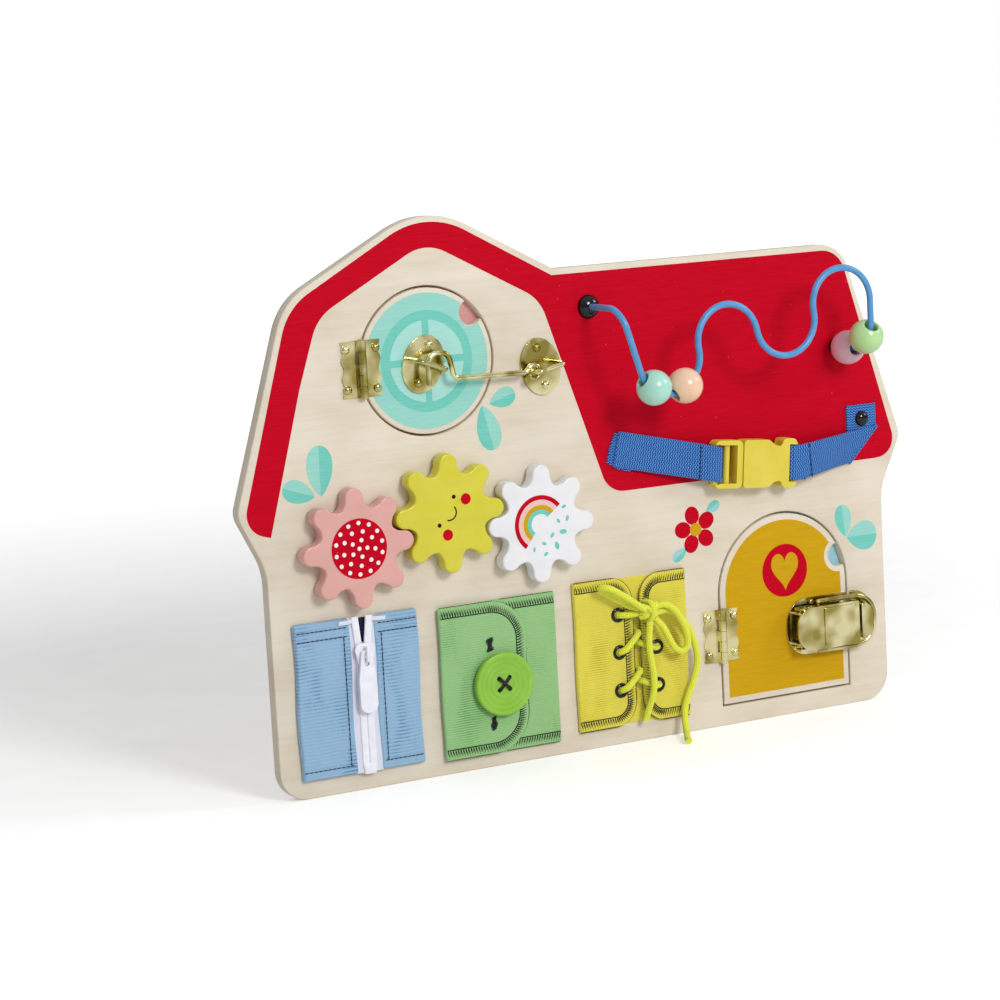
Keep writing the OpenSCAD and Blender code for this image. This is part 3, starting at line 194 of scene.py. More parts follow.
def plywood():
    """Birch plywood, sanded: a pale veneer with long fine grain along the board."""
    material, tree, shader = finish("birch plywood, sanded", 0.6, Specular_IOR_Level=0.2)
    grain = noise(tree, 420, 4.0, (0.06, 1.0, 1.0))  # 2.4 mm wide figure, drawn out 17 times
    pores = wood_pores(tree)
    clouds = noise(tree, 45, 3.0, (0.5, 1.0, 1.0))
    both = sum_of(tree, sum_of(tree, clouds, grain, 0.45), pores, 0.25)
    two_tone(tree, shader, both, "D6C8B2", "E6DCCA", 0.45, 1.15)
    relief(tree, shader, pores, 0.03)
    return material


def ink_on_wood(name, low, high, flecks=0.0):
    """Screen-printed ink: flat colour through which the grain just shows. flecks is how high the
    noise has to be for a missed spot, and none are drawn at 0."""
    material, tree, shader = finish(name, 0.6, Specular_IOR_Level=0.05)
    pores = wood_pores(tree)
    ramp = two_tone(tree, shader, pores, low, high, 0.3, 0.7)
    if flecks:
        # missed spots where the ink skipped a pore, about half a millimetre wide
        specks = noise(tree, 700, 0.0)
        spot = add(tree, "ShaderNodeMapRange", {"Value": specks, 1: flecks, 2: flecks + 0.02})
        mix = add(tree, "ShaderNodeMix", data_type="RGBA")
        mix.inputs[7].default_value = hex_colour("D45868")
        tree.links.new(spot.outputs[0], mix.inputs[0])
        tree.links.new(ramp.outputs["Color"], mix.inputs[6])
        tree.links.new(mix.outputs[2], shader.inputs["Base Color"])
    relief(tree, shader, pores, 0.015)
    return material


def lacquered_wood(name, low, high, roughness=0.3):
    """Water-based paint on turned or sawn wood: soft gloss with a faint orange peel."""
    material, tree, shader = finish(name, roughness, Coat_Weight=0.25, Coat_Roughness=0.2)
    peel = noise(tree, 350, 2.0)
    two_tone(tree, shader, noise(tree, 60, 3.0), low, high, 0.3, 0.7)
    relief(tree, shader, peel, 0.02)
    return material


def plated_brass():
    """Pressed steel with polished brass plate: pale gold, with fine drawing marks, and large patches of
    painted reflection that shade it from dark olive to pale gold.
    """
    material, tree, shader = finish("brass plate, polished", 0.17, Metallic=1.0)
    marks = noise(tree, 300, 2.0)
    # painted reflection: patches about 13 mm across, darker and lighter, that stand in for what the polished
    # plate mirrors
    painted_reflection_patches = noise(tree, 75, 1.5)
    two_tone(tree, shader, painted_reflection_patches, "A6984C", "F2E9B4", 0.37, 0.6)
    rough = add(tree, "ShaderNodeMapRange", {"Value": marks, 1: 0.3, 2: 0.7, 3: 0.12, 4: 0.22})
    tree.links.new(rough.outputs[0], shader.inputs["Roughness"])
    relief(tree, shader, sum_of(tree, marks, painted_reflection_patches, 6.0), 0.015)
    return material


def enamel(name, low, high, roughness, metallic=0.0):
    """Smooth sprayed or moulded surface with only a trace of texture."""
    material, tree, shader = finish(name, roughness, Metallic=metallic)
    haze = noise(tree, 200, 2.0)
    two_tone(tree, shader, haze, low, high, 0.3, 0.7)
    relief(tree, shader, haze, 0.01)
    return material


def ribbed_cotton(name, shaded_groove, lit_ridge, pitch_mm, depth):
    """Cotton grosgrain: ribs along the board, crossed by fine warp threads, on creased cloth. Its colour is
    painted shade: darker in the grooves between the ribs and in the creases, lighter on the ridges.
    """
    material, tree, shader = finish(name, 0.85, Sheen_Weight=0.25, Sheen_Roughness=0.5,
                                    Specular_IOR_Level=0.2)
    place = add(tree, "ShaderNodeTexCoord")
    axes = add(tree, "ShaderNodeSeparateXYZ", {0: place.outputs["Object"]})
    drift = noise(tree, 60, 2.0)
    height = sum_of(tree, axes.outputs["Z"], drift, 0.0012)
    ribs = wave(tree, height, pitch_mm)
    threads = wave(tree, axes.outputs["X"], 0.62)
    cloth = sum_of(tree, ribs, threads, 0.3)
    cloth = sum_of(tree, cloth, noise(tree, 1500, 2.0), 1.6)
    # creases: a bump, and painted shade where they darken the colour
    creases_with_painted_shade = noise(tree, 38, 2.0, (1.4, 1.0, 0.7))
    level = add(tree, "ShaderNodeMapRange", {"Value": cloth, 1: -1.0, 2: 2.4})
    shade = sum_of(tree, level.outputs[0], creases_with_painted_shade, 1.5)
    # painted shade: the dark colour in the rib grooves and the creases, the light one on the ridges
    two_tone(tree, shader, shade, shaded_groove, lit_ridge, 0.8, 1.5)
    relief(tree, shader, sum_of(tree, level.outputs[0], creases_with_painted_shade, 6.0), depth)
    return material


def along_and_across(tree):
    """The two coordinates of a piece's own map, in metres: along it and across or round it."""
    place = add(tree, "ShaderNodeUVMap", uv_map="length")
    axes = add(tree, "ShaderNodeSeparateXYZ", {0: place.outputs["UV"]})
    return axes.outputs["X"], axes.outputs["Y"]


def woven_tape(name, shaded_groove, lit_ridge, fleck_mm, row_mm, depth):
    """Webbing: slanting floats of thread every fleck_mm, that turn back at each row_mm across. Its colour is
    painted shade, darker between the floats and lighter on them.
    """
    material, tree, shader = finish(name, 0.65, Sheen_Weight=0.05, Specular_IOR_Level=0.2)
    along, across = along_and_across(tree)
    zigzag = add(tree, "ShaderNodeMath", {0: across, 1: row_mm * 0.001}, operation="PINGPONG")
    checks = wave(tree, sum_of(tree, along, zigzag.outputs[0], 0.8), fleck_mm)
    checks = sum_of(tree, checks, wave(tree, across, row_mm), 0.35)
    checks = sum_of(tree, checks, noise(tree, 900, 2.0), 0.9)
    level = add(tree, "ShaderNodeMapRange", {"Value": checks, 1: -0.7, 2: 1.6})
    # painted shade: the dark colour between the floats, the light one on them
    two_tone(tree, shader, level.outputs[0], shaded_groove, lit_ridge, 0.25, 0.85)
    relief(tree, shader, level.outputs[0], depth)
    return material


def braided_cord(name, shaded_groove, lit_ridge):
    """Round braid: two sets of strands 1.8 mm apart that wind opposite ways and cross. Its colour is painted
    shade, darker in the hollows between the strands and lighter on them.
    """
    material, tree, shader = finish(name, 0.7, Sheen_Weight=0.3, Specular_IOR_Level=0.25)
    along, around = along_and_across(tree)
    one = wave(tree, sum_of(tree, along, around, 0.9), 1.8)
    other = wave(tree, sum_of(tree, along, around, -0.9), 1.8)
    cross = add(tree, "ShaderNodeMath", {0: one, 1: other}, operation="MULTIPLY").outputs[0]
    level = add(tree, "ShaderNodeMapRange", {"Value": cross, 1: -1.0, 2: 1.0})
    # painted shade: the dark colour in the hollows between the strands, the light one on them
    two_tone(tree, shader, level.outputs[0], shaded_groove, lit_ridge, 0.1, 0.8)
    relief(tree, shader, level.outputs[0], 0.2)
    return material


def ringed_plastic(name, low, high, centre):
    """Gloss plastic turned on a lathe: faint rings 3 mm apart round its middle."""
    material, tree, shader = finish(name, 0.25)
    place = add(tree, "ShaderNodeTexCoord")
    spoke = add(tree, "ShaderNodeVectorMath", {0: place.outputs["Object"], 1: centre},
                operation="SUBTRACT")
    flat = add(tree, "ShaderNodeVectorMath", {0: spoke.outputs[0], 1: (1.0, 0.0, 1.0)},
               operation="MULTIPLY")
    radius = add(tree, "ShaderNodeVectorMath", {0: flat.outputs[0]}, operation="LENGTH")
    rings = wave(tree, radius.outputs["Value"], 3.0)
    clouded = sum_of(tree, rings, noise(tree, 90, 2.0), 6.0)
    level = add(tree, "ShaderNodeMapRange", {"Value": clouded, 1: 0.0, 2: 6.0})
    two_tone(tree, shader, level.outputs[0], low, high, 0.2, 0.9)
    relief(tree, shader, rings, 0.002)
    return material


def moulded_plastic(name, low, high, roughness, grain_mm=0.35):
    """Injection-moulded plastic with the mould's fine spark grain."""
    material, tree, shader = finish(name, roughness)
    grain = noise(tree, 1000 / grain_mm, 1.0)
    clouds = noise(tree, 90, 2.0)
    two_tone(tree, shader, clouds, low, high, 0.3, 0.7)
    relief(tree, shader, grain, 0.02)
    return material


WOOD = plywood()
RED_INK = ink_on_wood("screen-printed red ink", "BC001B", "CA0524", 0.86)
MINT_INK = ink_on_wood("screen-printed mint ink", "93D2C6", "9FDACE")
TEAL_INK = ink_on_wood("screen-printed teal ink", "6FC7B8", "7CD0C2")
PALE_MINT_INK = ink_on_wood("screen-printed pale mint ink", "A5DCD2", "B0E2D9")
MUSTARD_INK = ink_on_wood("screen-printed mustard ink", "C99C12", "D3A61A")
DUSTY_PINK_INK = ink_on_wood("screen-printed dusty pink ink", "D49A98", "DCA6A3")
SKY_INK = ink_on_wood("screen-printed sky blue ink", "97CBD8", "A5D5E0")
PALE_PINK_INK = ink_on_wood("screen-printed pale pink ink", "EBBFB6", "F0C9C1")
BLACK_INK = ink_on_wood("screen-printed black ink", "1B1714", "26211D")
SPOT_WHITE_INK = ink_on_wood("screen-printed white ink", "F3EDE9", "FBF7F4")
GEAR_PINK = lacquered_wood("pink lacquer on wood", "DDA39B", "E3ABA3")
GEAR_YELLOW = lacquered_wood("yellow lacquer on wood", "D3CA2C", "DAD136")
GEAR_WHITE = lacquered_wood("white lacquer on wood", "E9E9EC", "F0F0F3")
BEAD_MINT = lacquered_wood("mint gloss lacquer on wood", "A5DCCA", "B2E4D4", 0.22)
BEAD_PEACH = lacquered_wood("peach gloss lacquer on wood", "F3C9A8", "F8D3B6", 0.22)
BEAD_GREEN = lacquered_wood("apple gloss lacquer on wood", "B7E09A", "C3E8A8", 0.22)
BEAD_PINK = lacquered_wood("rose gloss lacquer on wood", "DDABBC", "E5B8C7", 0.22)
BRASS = plated_brass()
STEEL = enamel("zinc-plated steel", "BFC1C4", "CFD1D4", 0.35, 1.0)
WIRE_BLUE = enamel("blue powder coat", "4F93CC", "5DA0D6", 0.3)
BLACK_LACQUER = enamel("black lacquer", "050506", "09090A", 0.12)
# for the cloths, tapes and lace below, the first colour is painted shade in the grooves and the second the
# lit ridges
BLUE_COTTON = ribbed_cotton("blue cotton grosgrain", "5F8BB4", "95BAD8", 1.9, 0.22)
GREEN_COTTON = ribbed_cotton("green cotton grosgrain", "629F5A", "95C484", 1.3, 0.14)
YELLOW_COTTON = ribbed_cotton("yellow cotton grosgrain", "BFB129", "E2D64F", 1.3, 0.14)
NAVY_COTTON = ribbed_cotton("navy cotton lining", "141B40", "222B58", 1.9, 0.2)
NAVY_THREAD = enamel("navy polyester thread", "131F40", "1B2A50", 0.6)
BLACK_THREAD = enamel("black polyester thread", "101010", "1B1B1B", 0.55)
BLUE_WEBBING = woven_tape("blue nylon webbing", "133C88", "5797DE", 1.5, 1.1, 0.25)
ZIP_TAPE = woven_tape("white polyester zip tape", "D9DBEE", "F6F6FD", 0.9, 0.9, 0.12)
ZIP_PLASTIC = enamel("white nylon", "EDEDFB", "F7F7FE", 0.3)
LACE_BRAID = braided_cord("lime yellow braided lace", "D6DC1C", "F6FA52")
LIME_PLASTIC = ringed_plastic("lime green gloss plastic", "86BE38", "93CC46", (-0.0626, 0.0, 0.0465))
YELLOW_PLASTIC = moulded_plastic("yellow acetal plastic", "DBC93C", "E3D24A", 0.38)

# Which finish each node of the model keeps where no new piece stands for it
NODE_FINISH = {
    "back_panel": WOOD, "hinge_pins": BRASS, "frame_nails": BRASS, "window_nails": BRASS,
    "barn_nails": BRASS, "gear_washers": STEEL, "axle_left": STEEL, "axle_mid": STEEL,
    "axle_right": STEEL, "strap_rivets": BLACK_LACQUER, "wire_collars": BLACK_LACQUER,
    "latch_pin": BRASS, "cloth_backs": NAVY_COTTON,
}
for node, material in NODE_FINISH.items():
    mesh = frame["nodes"][node].data
    mesh.materials.clear()
    mesh.materials.append(material)


# ---- pieces from arrays ----

def piece(name, points, faces, material, body, smooth=True, lengths=None, stands_for=(), slot=None):
    """A mesh of these points, in millimetres from the face, riding on a body, if one is given.
    lengths, or what it makes of the points, is each point's place on the piece's own map, in metres."""
    points = np.asarray(points, float)
    lengths = lengths(points) if callable(lengths) else lengths
    mesh = bpy.data.meshes.new(name)
    mesh.from_pydata(to_frame(points), [], [list(f) for f in faces])
    mesh.materials.append(material)
    if lengths is not None:
        layer = mesh.uv_layers.new(name="length")
        corner_points = np.empty(len(mesh.loops), np.int32)
        mesh.loops.foreach_get("vertex_index", corner_points)
        layer.data.foreach_set("uv", np.asarray(lengths, float)[corner_points].ravel())
    mesh.polygons.foreach_set("use_smooth", np.full(len(mesh.polygons), smooth))
    obj = bpy.data.objects.new(name, mesh)
    scene.collection.objects.link(obj)
    if smooth:
        mesh.set_sharp_from_angle(angle=np.radians(40))
    if body:
        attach(obj, body)
    if stands_for:
        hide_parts(*stands_for)
    return obj


def quads(rows, columns, around=True):
    """Faces of a grid of points, rows by columns, joined up round each row if around."""
    across = np.arange(columns if around else columns - 1)
    r, c = np.meshgrid(np.arange(rows - 1), across, indexing="ij")
    n = (c + 1) % columns
    return np.stack([r * columns + c, r * columns + n, (r + 1) * columns + n,
                     (r + 1) * columns + c], -1).reshape(-1, 4).tolist()


def on_plane(flat, y):
    """Points [x, z] stood up at depth y."""
    flat = np.asarray(flat, float)
    return np.stack([flat[:, 0], np.full(len(flat), float(y)), flat[:, 1]], 1)


def area_of(loop):
    """Signed area of a closed outline, positive if it turns left."""
    x, z = loop[:, 0], loop[:, 1]
    return 0.5 * np.sum(x * np.roll(z, -1) - np.roll(x, -1) * z)


def inset(loop, distance):
    """The outline moved to its left by distance, square to the chord of its neighbours."""
    chord = np.roll(loop, -1, 0) - np.roll(loop, 1, 0)
    left = np.stack([-chord[:, 1], chord[:, 0]], 1)
    return loop + distance * left / np.maximum(np.linalg.norm(left, axis=1), 1e-9)[:, None]


def slab(name, outline, back, front, material, body, edge=0.0, holes=(), back_edge=0.0, **glow_by_distance):
    """A flat plate between depths back and front. Each outline is carried through the depth
    along a profile that rounds the front edge with radius edge, and the back edge likewise."""
    loops = [outline if area_of(outline) > 0 else outline[::-1]]
    loops += [h if area_of(h) < 0 else h[::-1] for h in holes]
    turn = np.radians([0, 30, 60, 90])
    profile = [(back, 0.0)]
    if back_edge:
        profile = [(back - back_edge * (1 - np.sin(a)), back_edge * (1 - np.cos(a))) for a in turn[::-1]]
    if edge:
        profile += [(front + edge * (1 - np.sin(a)), edge * (1 - np.cos(a))) for a in turn]
    else:
        profile += [(front, 0.0)]
    points, faces, caps = [], [], ([], [])
    for loop in loops:
        start, count = sum(len(p) for p in points), len(loop)
        rings = [on_plane(inset(loop, d), y) for y, d in profile]
        points += rings
        faces += [[start + i for i in f] for f in quads(len(rings), count)]
        caps[0].append((start, count, rings[0]))
        caps[1].append((start + (len(rings) - 1) * count, count, rings[-1]))
    for cap, flip in zip(caps, (True, False)):
        order = np.concatenate([np.arange(s, s + c) for s, c, _ in cap])
        flat = [[Vector((p[0], p[2], 0)) for p in ring] for _, _, ring in cap]
        for triangle in tessellate_polygon(flat):
            corners = np.concatenate([r for _, _, r in cap])[list(triangle)][:, [0, 2]]
            left_turn = area_of(corners) > 0
            triangle = order[list(triangle)].tolist()
            faces.append(triangle if left_turn != flip else triangle[::-1])
    return piece(name, np.concatenate(points), faces, material, body, **glow_by_distance)


def turned(profile, centre, count=48):
    """Points and faces of a shape turned about an axis that points outward through centre: profile
    rows are [radius, height along the axis]."""
    a = np.linspace(0, 2 * np.pi, count, endpoint=False)
    spoke = np.stack([-np.sin(a), np.zeros(count), np.cos(a)], 1)
    profile = np.asarray(profile, float)
    points = (np.asarray(centre, float) + profile[:, 0, None, None] * spoke
              + profile[:, 1, None, None] * OUTWARD).reshape(-1, 3)
    return points, quads(len(profile), count)


def smooth_line(points, step):
    """A curve through the points, with a point about every step (Catmull-Rom blend of four)."""
    p = np.asarray(points, float)
    p = np.vstack([2 * p[0] - p[1], p, 2 * p[-1] - p[-2]])
    out = []
    for a, b, c, d in zip(p, p[1:], p[2:], p[3:]):
        t = np.linspace(0, 1, max(2, int(np.linalg.norm(c - b) / step) + 1), endpoint=False)[:, None]
        out.append(0.5 * (2 * b + (c - a) * t + (2 * a - 5 * b + 4 * c - d) * t ** 2
                          + (3 * b - a - 3 * c + d) * t ** 3))
    return np.vstack(out + [p[-2:-1]])


def carried(line, section, up=OUTWARD):
    """A closed section, rows [across, up], carried along a line of points and capped at its ends.
    Up starts as near as it can to the given way and turns only with the line. Returns points,
    faces and the length map."""
    line = np.asarray(line, float)
    way = np.gradient(line, axis=0)
    way /= np.linalg.norm(way, axis=1)[:, None]
    rise = np.empty_like(way)
    last = np.broadcast_to(np.asarray(up, float), way.shape)[0].copy()
    for i, d in enumerate(way):
        last = last - d * (last @ d)
        last /= np.linalg.norm(last)
        rise[i] = last
    across = np.cross(way, rise)
    section = np.asarray(section, float)
    points = (line[:, None] + section[None, :, 0, None] * across[:, None]
              + section[None, :, 1, None] * rise[:, None]).reshape(-1, 3)
    count = len(section)
    faces = quads(len(line), count)
    faces += [list(range(count))[::-1], list(range(len(points) - count, len(points)))]
    along = np.concatenate([[0], np.cumsum(np.linalg.norm(np.diff(line, axis=0), axis=1))])
    round_it = np.concatenate([[0], np.cumsum(np.linalg.norm(np.diff(section, axis=0), axis=1))])
    lengths = np.stack([np.repeat(along, count), np.tile(round_it, len(line))], 1) * 0.001
    return points, faces, lengths


def circle(radius, count):
    """A circle of so many points about the origin, turning left."""
    a = np.linspace(0, 2 * np.pi, count, endpoint=False)
    return radius * np.stack([np.cos(a), np.sin(a)], 1)


def squared_off(v, power):
    """v with its size raised to power and its sign kept: under 1, it makes a wave squarer."""
    return np.sign(v) * np.abs(v) ** power


def tape_section(width, thickness, count=28):
    """A flat section with rounded edges: a squared-off ellipse."""
    a = np.linspace(0, 2 * np.pi, count, endpoint=False)
    return np.stack([width / 2 * squared_off(np.cos(a), 0.35),
                     thickness / 2 * squared_off(np.sin(a), 0.6)], 1)


def joined(parts):
    """Several (points, faces) or (points, faces, lengths) as one."""
    faces, start = [], 0
    for part in parts:
        faces += [[start + i for i in f] for f in part[1]]
        start += len(part[0])
    points = np.concatenate([p[0] for p in parts])
    return (points, faces, np.concatenate([p[2] for p in parts])) if len(parts[0]) == 3 else (points, faces)


def stitches(a, b, radius):
    """Short straight threads from each point of a to the same point of b, diamond in section."""
    a, b = np.asarray(a, float), np.asarray(b, float)
    way = (b - a) / np.linalg.norm(b - a, axis=1)[:, None]
    side = np.cross(way, OUTWARD)
    side /= np.linalg.norm(side, axis=1)[:, None]
    rise = np.cross(side, way)
    ring = np.stack([side, rise, -side, -rise], 1) * radius
    points = np.stack([a[:, None] + ring * 0.7, (a + b)[:, None] / 2 + ring * 1.1,
                       b[:, None] + ring * 0.7], 1)
    one = np.array(quads(3, 4) + [[3, 2, 1, 0], [8, 9, 10, 11]])
    faces = (one[None] + 12 * np.arange(len(a))[:, None, None]).reshape(-1, 4)
    return points.reshape(-1, 3), faces.tolist()


def spaced(line, step):
    """Points at even steps along a line."""
    line = np.asarray(line, float)
    along = np.concatenate([[0], np.cumsum(np.linalg.norm(np.diff(line, axis=0), axis=1))])
    at = np.linspace(0, along[-1], max(2, int(round(along[-1] / step)) + 1))
    return np.stack([np.interp(at, along, line[:, i]) for i in range(line.shape[1])], 1)


def running_stitch(line, stitch=2.3, gap=0.35, radius=0.27):
    """A seam: threads of one stitch's length along a line, with a small gap between them."""
    p = spaced(line, stitch + gap)
    way = np.diff(p, axis=0)
    return stitches(p[:-1], p[:-1] + way * stitch / (stitch + gap), radius)


def softened(node, material, width=0.25, segments=2):
    """A copy of a node's solid with its sharp edges rounded, standing for the node. width is in mm."""
    source = frame["nodes"][node]
    mesh = source.data.copy()
    mesh.materials.clear()
    mesh.materials.append(material)
    work = bmesh.new()
    work.from_mesh(mesh)
    bmesh.ops.remove_doubles(work, verts=work.verts, dist=2e-6)
    bmesh.ops.dissolve_limit(work, angle_limit=np.radians(1.0), verts=work.verts, edges=work.edges)
    work.to_mesh(mesh)
    work.free()
    mesh.polygons.foreach_set("use_smooth", np.full(len(mesh.polygons), True))
    obj = bpy.data.objects.new(node + "_finished", mesh)
    scene.collection.objects.link(obj)
    if width:
        bevel = obj.modifiers.new("rounded edges", "BEVEL")
        bevel.width, bevel.segments = width * 0.001, segments
        bevel.limit_method, bevel.angle_limit = "ANGLE", np.radians(35)
        bevel.harden_normals = True
    mesh.set_sharp_from_angle(angle=np.radians(35))
    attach(obj, source["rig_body"])
    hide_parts(node)


# ---- lace ----

LACE_R = 1.9
TUCKED_LACE_R = LACE_R - 0.1  # where it is drawn tight
KNOT = np.array([28.5, -8.6, 74.5])
# routes of the free stretches, from the knot on
LOOP_RIGHT = [
    [31, -9.6, 75.4], [34.2, -10.8, 77.2], [37.8, -12.2, 77.4], [41.4, -13, 75.4], [44.8, -13.4, 71.4],
    [47.8, -13.2, 66.4], [50, -12.8, 61], [51.2, -12.4, 55.8], [50.4, -12, 51.6], [47.2, -11.6, 49.8],
    [43.8, -11.2, 51.6], [41.2, -11, 55.4], [38.8, -11, 60.2], [36.4, -10.8, 64.8], [33.6, -10, 68.4],
    [31, -9.4, 71.4]]
LOOP_LEFT = [
    [27, -11, 75], [23.2, -12.2, 77.2], [19.4, -13, 79.8], [15.4, -13.6, 82.6], [11, -14, 85.6],
    [6.6, -14.2, 88.4], [2.6, -14.2, 90.8], [-0.6, -13, 91.8], [-1.8, -10.8, 91.2], [-0.2, -9, 89.4],
    [3.4, -8.4, 87], [7.8, -8.2, 84], [12.2, -8.2, 81.4], [16.4, -8.4, 79.2], [20.6, -8.8, 77.6],
    [26, -9, 75.6]]
END_LONG = [
    [30.4, -9.4, 73.4], [34.6, -9.5, 73.4], [38.6, -9.2, 73.8], [42.8, -8.6, 72.8], [47.4, -8, 70],
    [51.8, -7.8, 65.6], [55.6, -7.4, 59.6], [58.6, -7, 52.6], [60.2, -6.6, 45], [59.6, -6.2, 37.4],
    [57, -6, 30], [53.6, -6, 23], [50.8, -6.4, 15.8], [49.6, -8, 9], [47.8, -12.2, 3.4],
    [44.4, -18.6, 2.0], [40.8, -25.6, 2.0]]
END_SHORT = [
    [28.8, -10, 72.4], [28.4, -10.2, 69], [28, -10.2, 64.6], [27.4, -10, 58.6], [27.6, -10, 52],
    [28.6, -10, 45.4], [29.4, -10, 38.6], [29.4, -9.9, 31.8], [28.4, -8.8, 25], [26.8, -7, 18.6],
    [25.2, -5.8, 12.6]]


def lace(name, route, node):
    """A free stretch of lace along its route: a round section carried along a smooth line."""
    line = smooth_line(route, 0.9)
    points, faces, lengths = carried(line, circle(LACE_R, 14))
    obj = piece(name, points, faces, LACE_BRAID, "board", lengths=lengths, stands_for=[node],
                slot="lace")


lace("lace_right_loop", LOOP_RIGHT, "lace_loop_right")
lace("lace_left_loop", LOOP_LEFT, "lace_loop_left")
lace("lace_long_end", END_LONG, "lace_end_long")
lace("lace_short_end", END_SHORT, "lace_end_short")

# the lacing: from each eyelet up to the gap between the flaps, and from the top pair to the knot
EYELET_X, EYELET_Z = [12.5, 36.5], [31, 52.5, 73.6]
crossings = []
for z in EYELET_Z[:2]:
    crossings.append([[12.5, -1.2, z], [12.8, -4.2, z + 0.4], [15, -6, z + 2], [18.8, -6, z + 5.2],
                      [22.4, -5.7, z + 8.6], [24.2, -4.2, z + 9.8], [24.5, -1.1, z + 10]])
    crossings.append([[36.5, -1.2, z], [36.2, -4.2, z + 0.3], [33.8, -6, z + 0.4], [30.4, -6, z + 1.6],
                      [26.8, -5.7, z + 3.2], [24.8, -4.2, z + 4], [24.5, -1.1, z + 4.2]])
crossings.append([[12.5, -1.2, 73.6], [12.8, -4.4, 73.6], [15.4, -6.4, 73.6], [18.6, -7, 73.6],
                  [25, -7.6, 74]])
crossings.append([[36.5, -1.2, 73.6], [36.3, -3.6, 73.6], [35.4, -5.4, 73], [32, -6.4, 73.2]])
points, faces, lengths = joined([carried(smooth_line(c, 0.9), circle(TUCKED_LACE_R, 12)) for c in crossings])
piece("lace_crossings", points, faces, LACE_BRAID, "board", lengths=lengths, stands_for=["lace_lacing"],
      slot="lace")

# the knot, about its middle: two strands that cross, a wrap over them, and a third strand behind
KNOT_STRANDS = [
    [[-4.4, 0.6, 2.6], [-3, -2.6, 2.4], [-0.6, -3.4, 0.6], [1.8, -2.8, -1.6], [3.8, 0.4, -2.8]],
    [[4.4, 0.4, 2.8], [3, -1.6, 2.6], [0.8, -2.2, 1.0], [-1.6, -2.0, -1.4], [-3.8, 0.6, -2.6]],
    [[-0.4, 2.4, 3.8], [0.2, -2.4, 4.0], [0.6, -3.9, 1.6], [0.4, -3.7, -1.4], [-0.2, -1.6, -3.8],
     [0, 2.2, -3.6]],
    [[-4.2, 2.0, 0.2], [-4.0, -1.4, 0.2], [-1.0, -1.6, 0.0], [2.2, -1.6, 0.2], [4.2, 1.8, 0.4]],
]
KNOT_SCALE = 1.2  # of the strands above
knot_lines = [smooth_line(KNOT + KNOT_SCALE * np.array(s), 0.8) for s in KNOT_STRANDS]
points, faces, lengths = joined([carried(line, circle(TUCKED_LACE_R, 12), up=(0.3, -0.2, 1.0))
                                 for line in knot_lines])
piece("lace_bow_knot", points, faces, LACE_BRAID, "board", lengths=lengths, stands_for=["lace_knot"],
      slot="lace")


# ---- the two panels ----

def arc(centre, radius, start, end, count):
    """Points of an arc, angles in degrees."""
    a = np.radians(np.linspace(start, end, count))
    return np.asarray(centre, float) + radius * np.stack([np.cos(a), np.sin(a)], 1)


def rounded(corners):
    """A closed outline through corners [x, z, radius], each rounded by its tangent arc."""
    c = np.asarray(corners, float)
    out = []
    for a, b, d, r in zip(np.roll(c, 1, 0)[:, :2], c[:, :2], np.roll(c, -1, 0)[:, :2], c[:, 2]):
        if r == 0:
            out.append(b[None])
            continue
        u, v = (b - a) / np.linalg.norm(b - a), (d - b) / np.linalg.norm(d - b)
        turn = np.arctan2(u[0] * v[1] - u[1] * v[0], u @ v)
        start = b - u * r * np.tan(abs(turn) / 2)
        centre = start + np.sign(turn) * r * np.array([-u[1], u[0]])
        t = np.linspace(0, turn, max(2, int(abs(np.degrees(turn)) / 4) + 2))
        spoke = start - centre
        out.append(centre + np.stack([spoke[0] * np.cos(t) - spoke[1] * np.sin(t),
                                      spoke[0] * np.sin(t) + spoke[1] * np.cos(t)], 1))
    return np.concatenate(out)


BOARD = rounded([[-194, 0, 16], [194, 0, 16], [194, 124, 36], [208.6, 154, 11], [172, 267.3, 20],
                 [-15, 267.3, 6], [-90, 307.5, 50], [-175.3, 262, 36], [-208.6, 154, 12], [-194, 124, 36]])
FRONT_BACK, BACK_BACK = 5.5, 8.0  # depths of the two panels' back faces
WINDOW, WINDOW_R = np.array([-94.5, 224.6]), 40
DOORWAY_X, DOOR_R, ARCH_Z, SILL_Z = 123.9, 43.9, 74.1, 10.9
INK = 0.08  # how far a print stands proud, so that it isn't hidden in the wood


def doorway(gap, left=None):
    """The doorway's outline drawn in by gap; its left side may be set."""
    x0 = DOORWAY_X - DOOR_R + gap if left is None else left
    top = arc((DOORWAY_X, ARCH_Z), DOOR_R - gap, 0, 180, 61)
    top = top[top[:, 0] >= x0 - 1e-6]
    return np.vstack([[[x0, SILL_Z + gap], [DOORWAY_X + DOOR_R - gap, SILL_Z + gap]], top,
                      [[x0, ARCH_Z]]])


def notched(outline, centre, radius):
    """The outline with a round bite taken out of it."""
    centre = np.asarray(centre, float)
    inside = np.linalg.norm(outline - centre, axis=1) < radius
    first = int(np.flatnonzero(~inside & np.roll(inside, -1))[0])
    outline = np.roll(outline, -first - 1, 0)
    kept = outline[np.linalg.norm(outline - centre, axis=1) >= radius]
    last, start = kept[-1] - centre, kept[0] - centre
    a, b = np.degrees(np.arctan2(last[1], last[0])), np.degrees(np.arctan2(start[1], start[0]))
    middle = kept.mean(0) - centre
    toward = np.degrees(np.arctan2(middle[1], middle[0]))
    a, b = toward + (a - toward + 180) % 360 - 180, toward + (b - toward + 180) % 360 - 180
    return np.vstack([kept, arc(centre, radius, a, b, 24)])


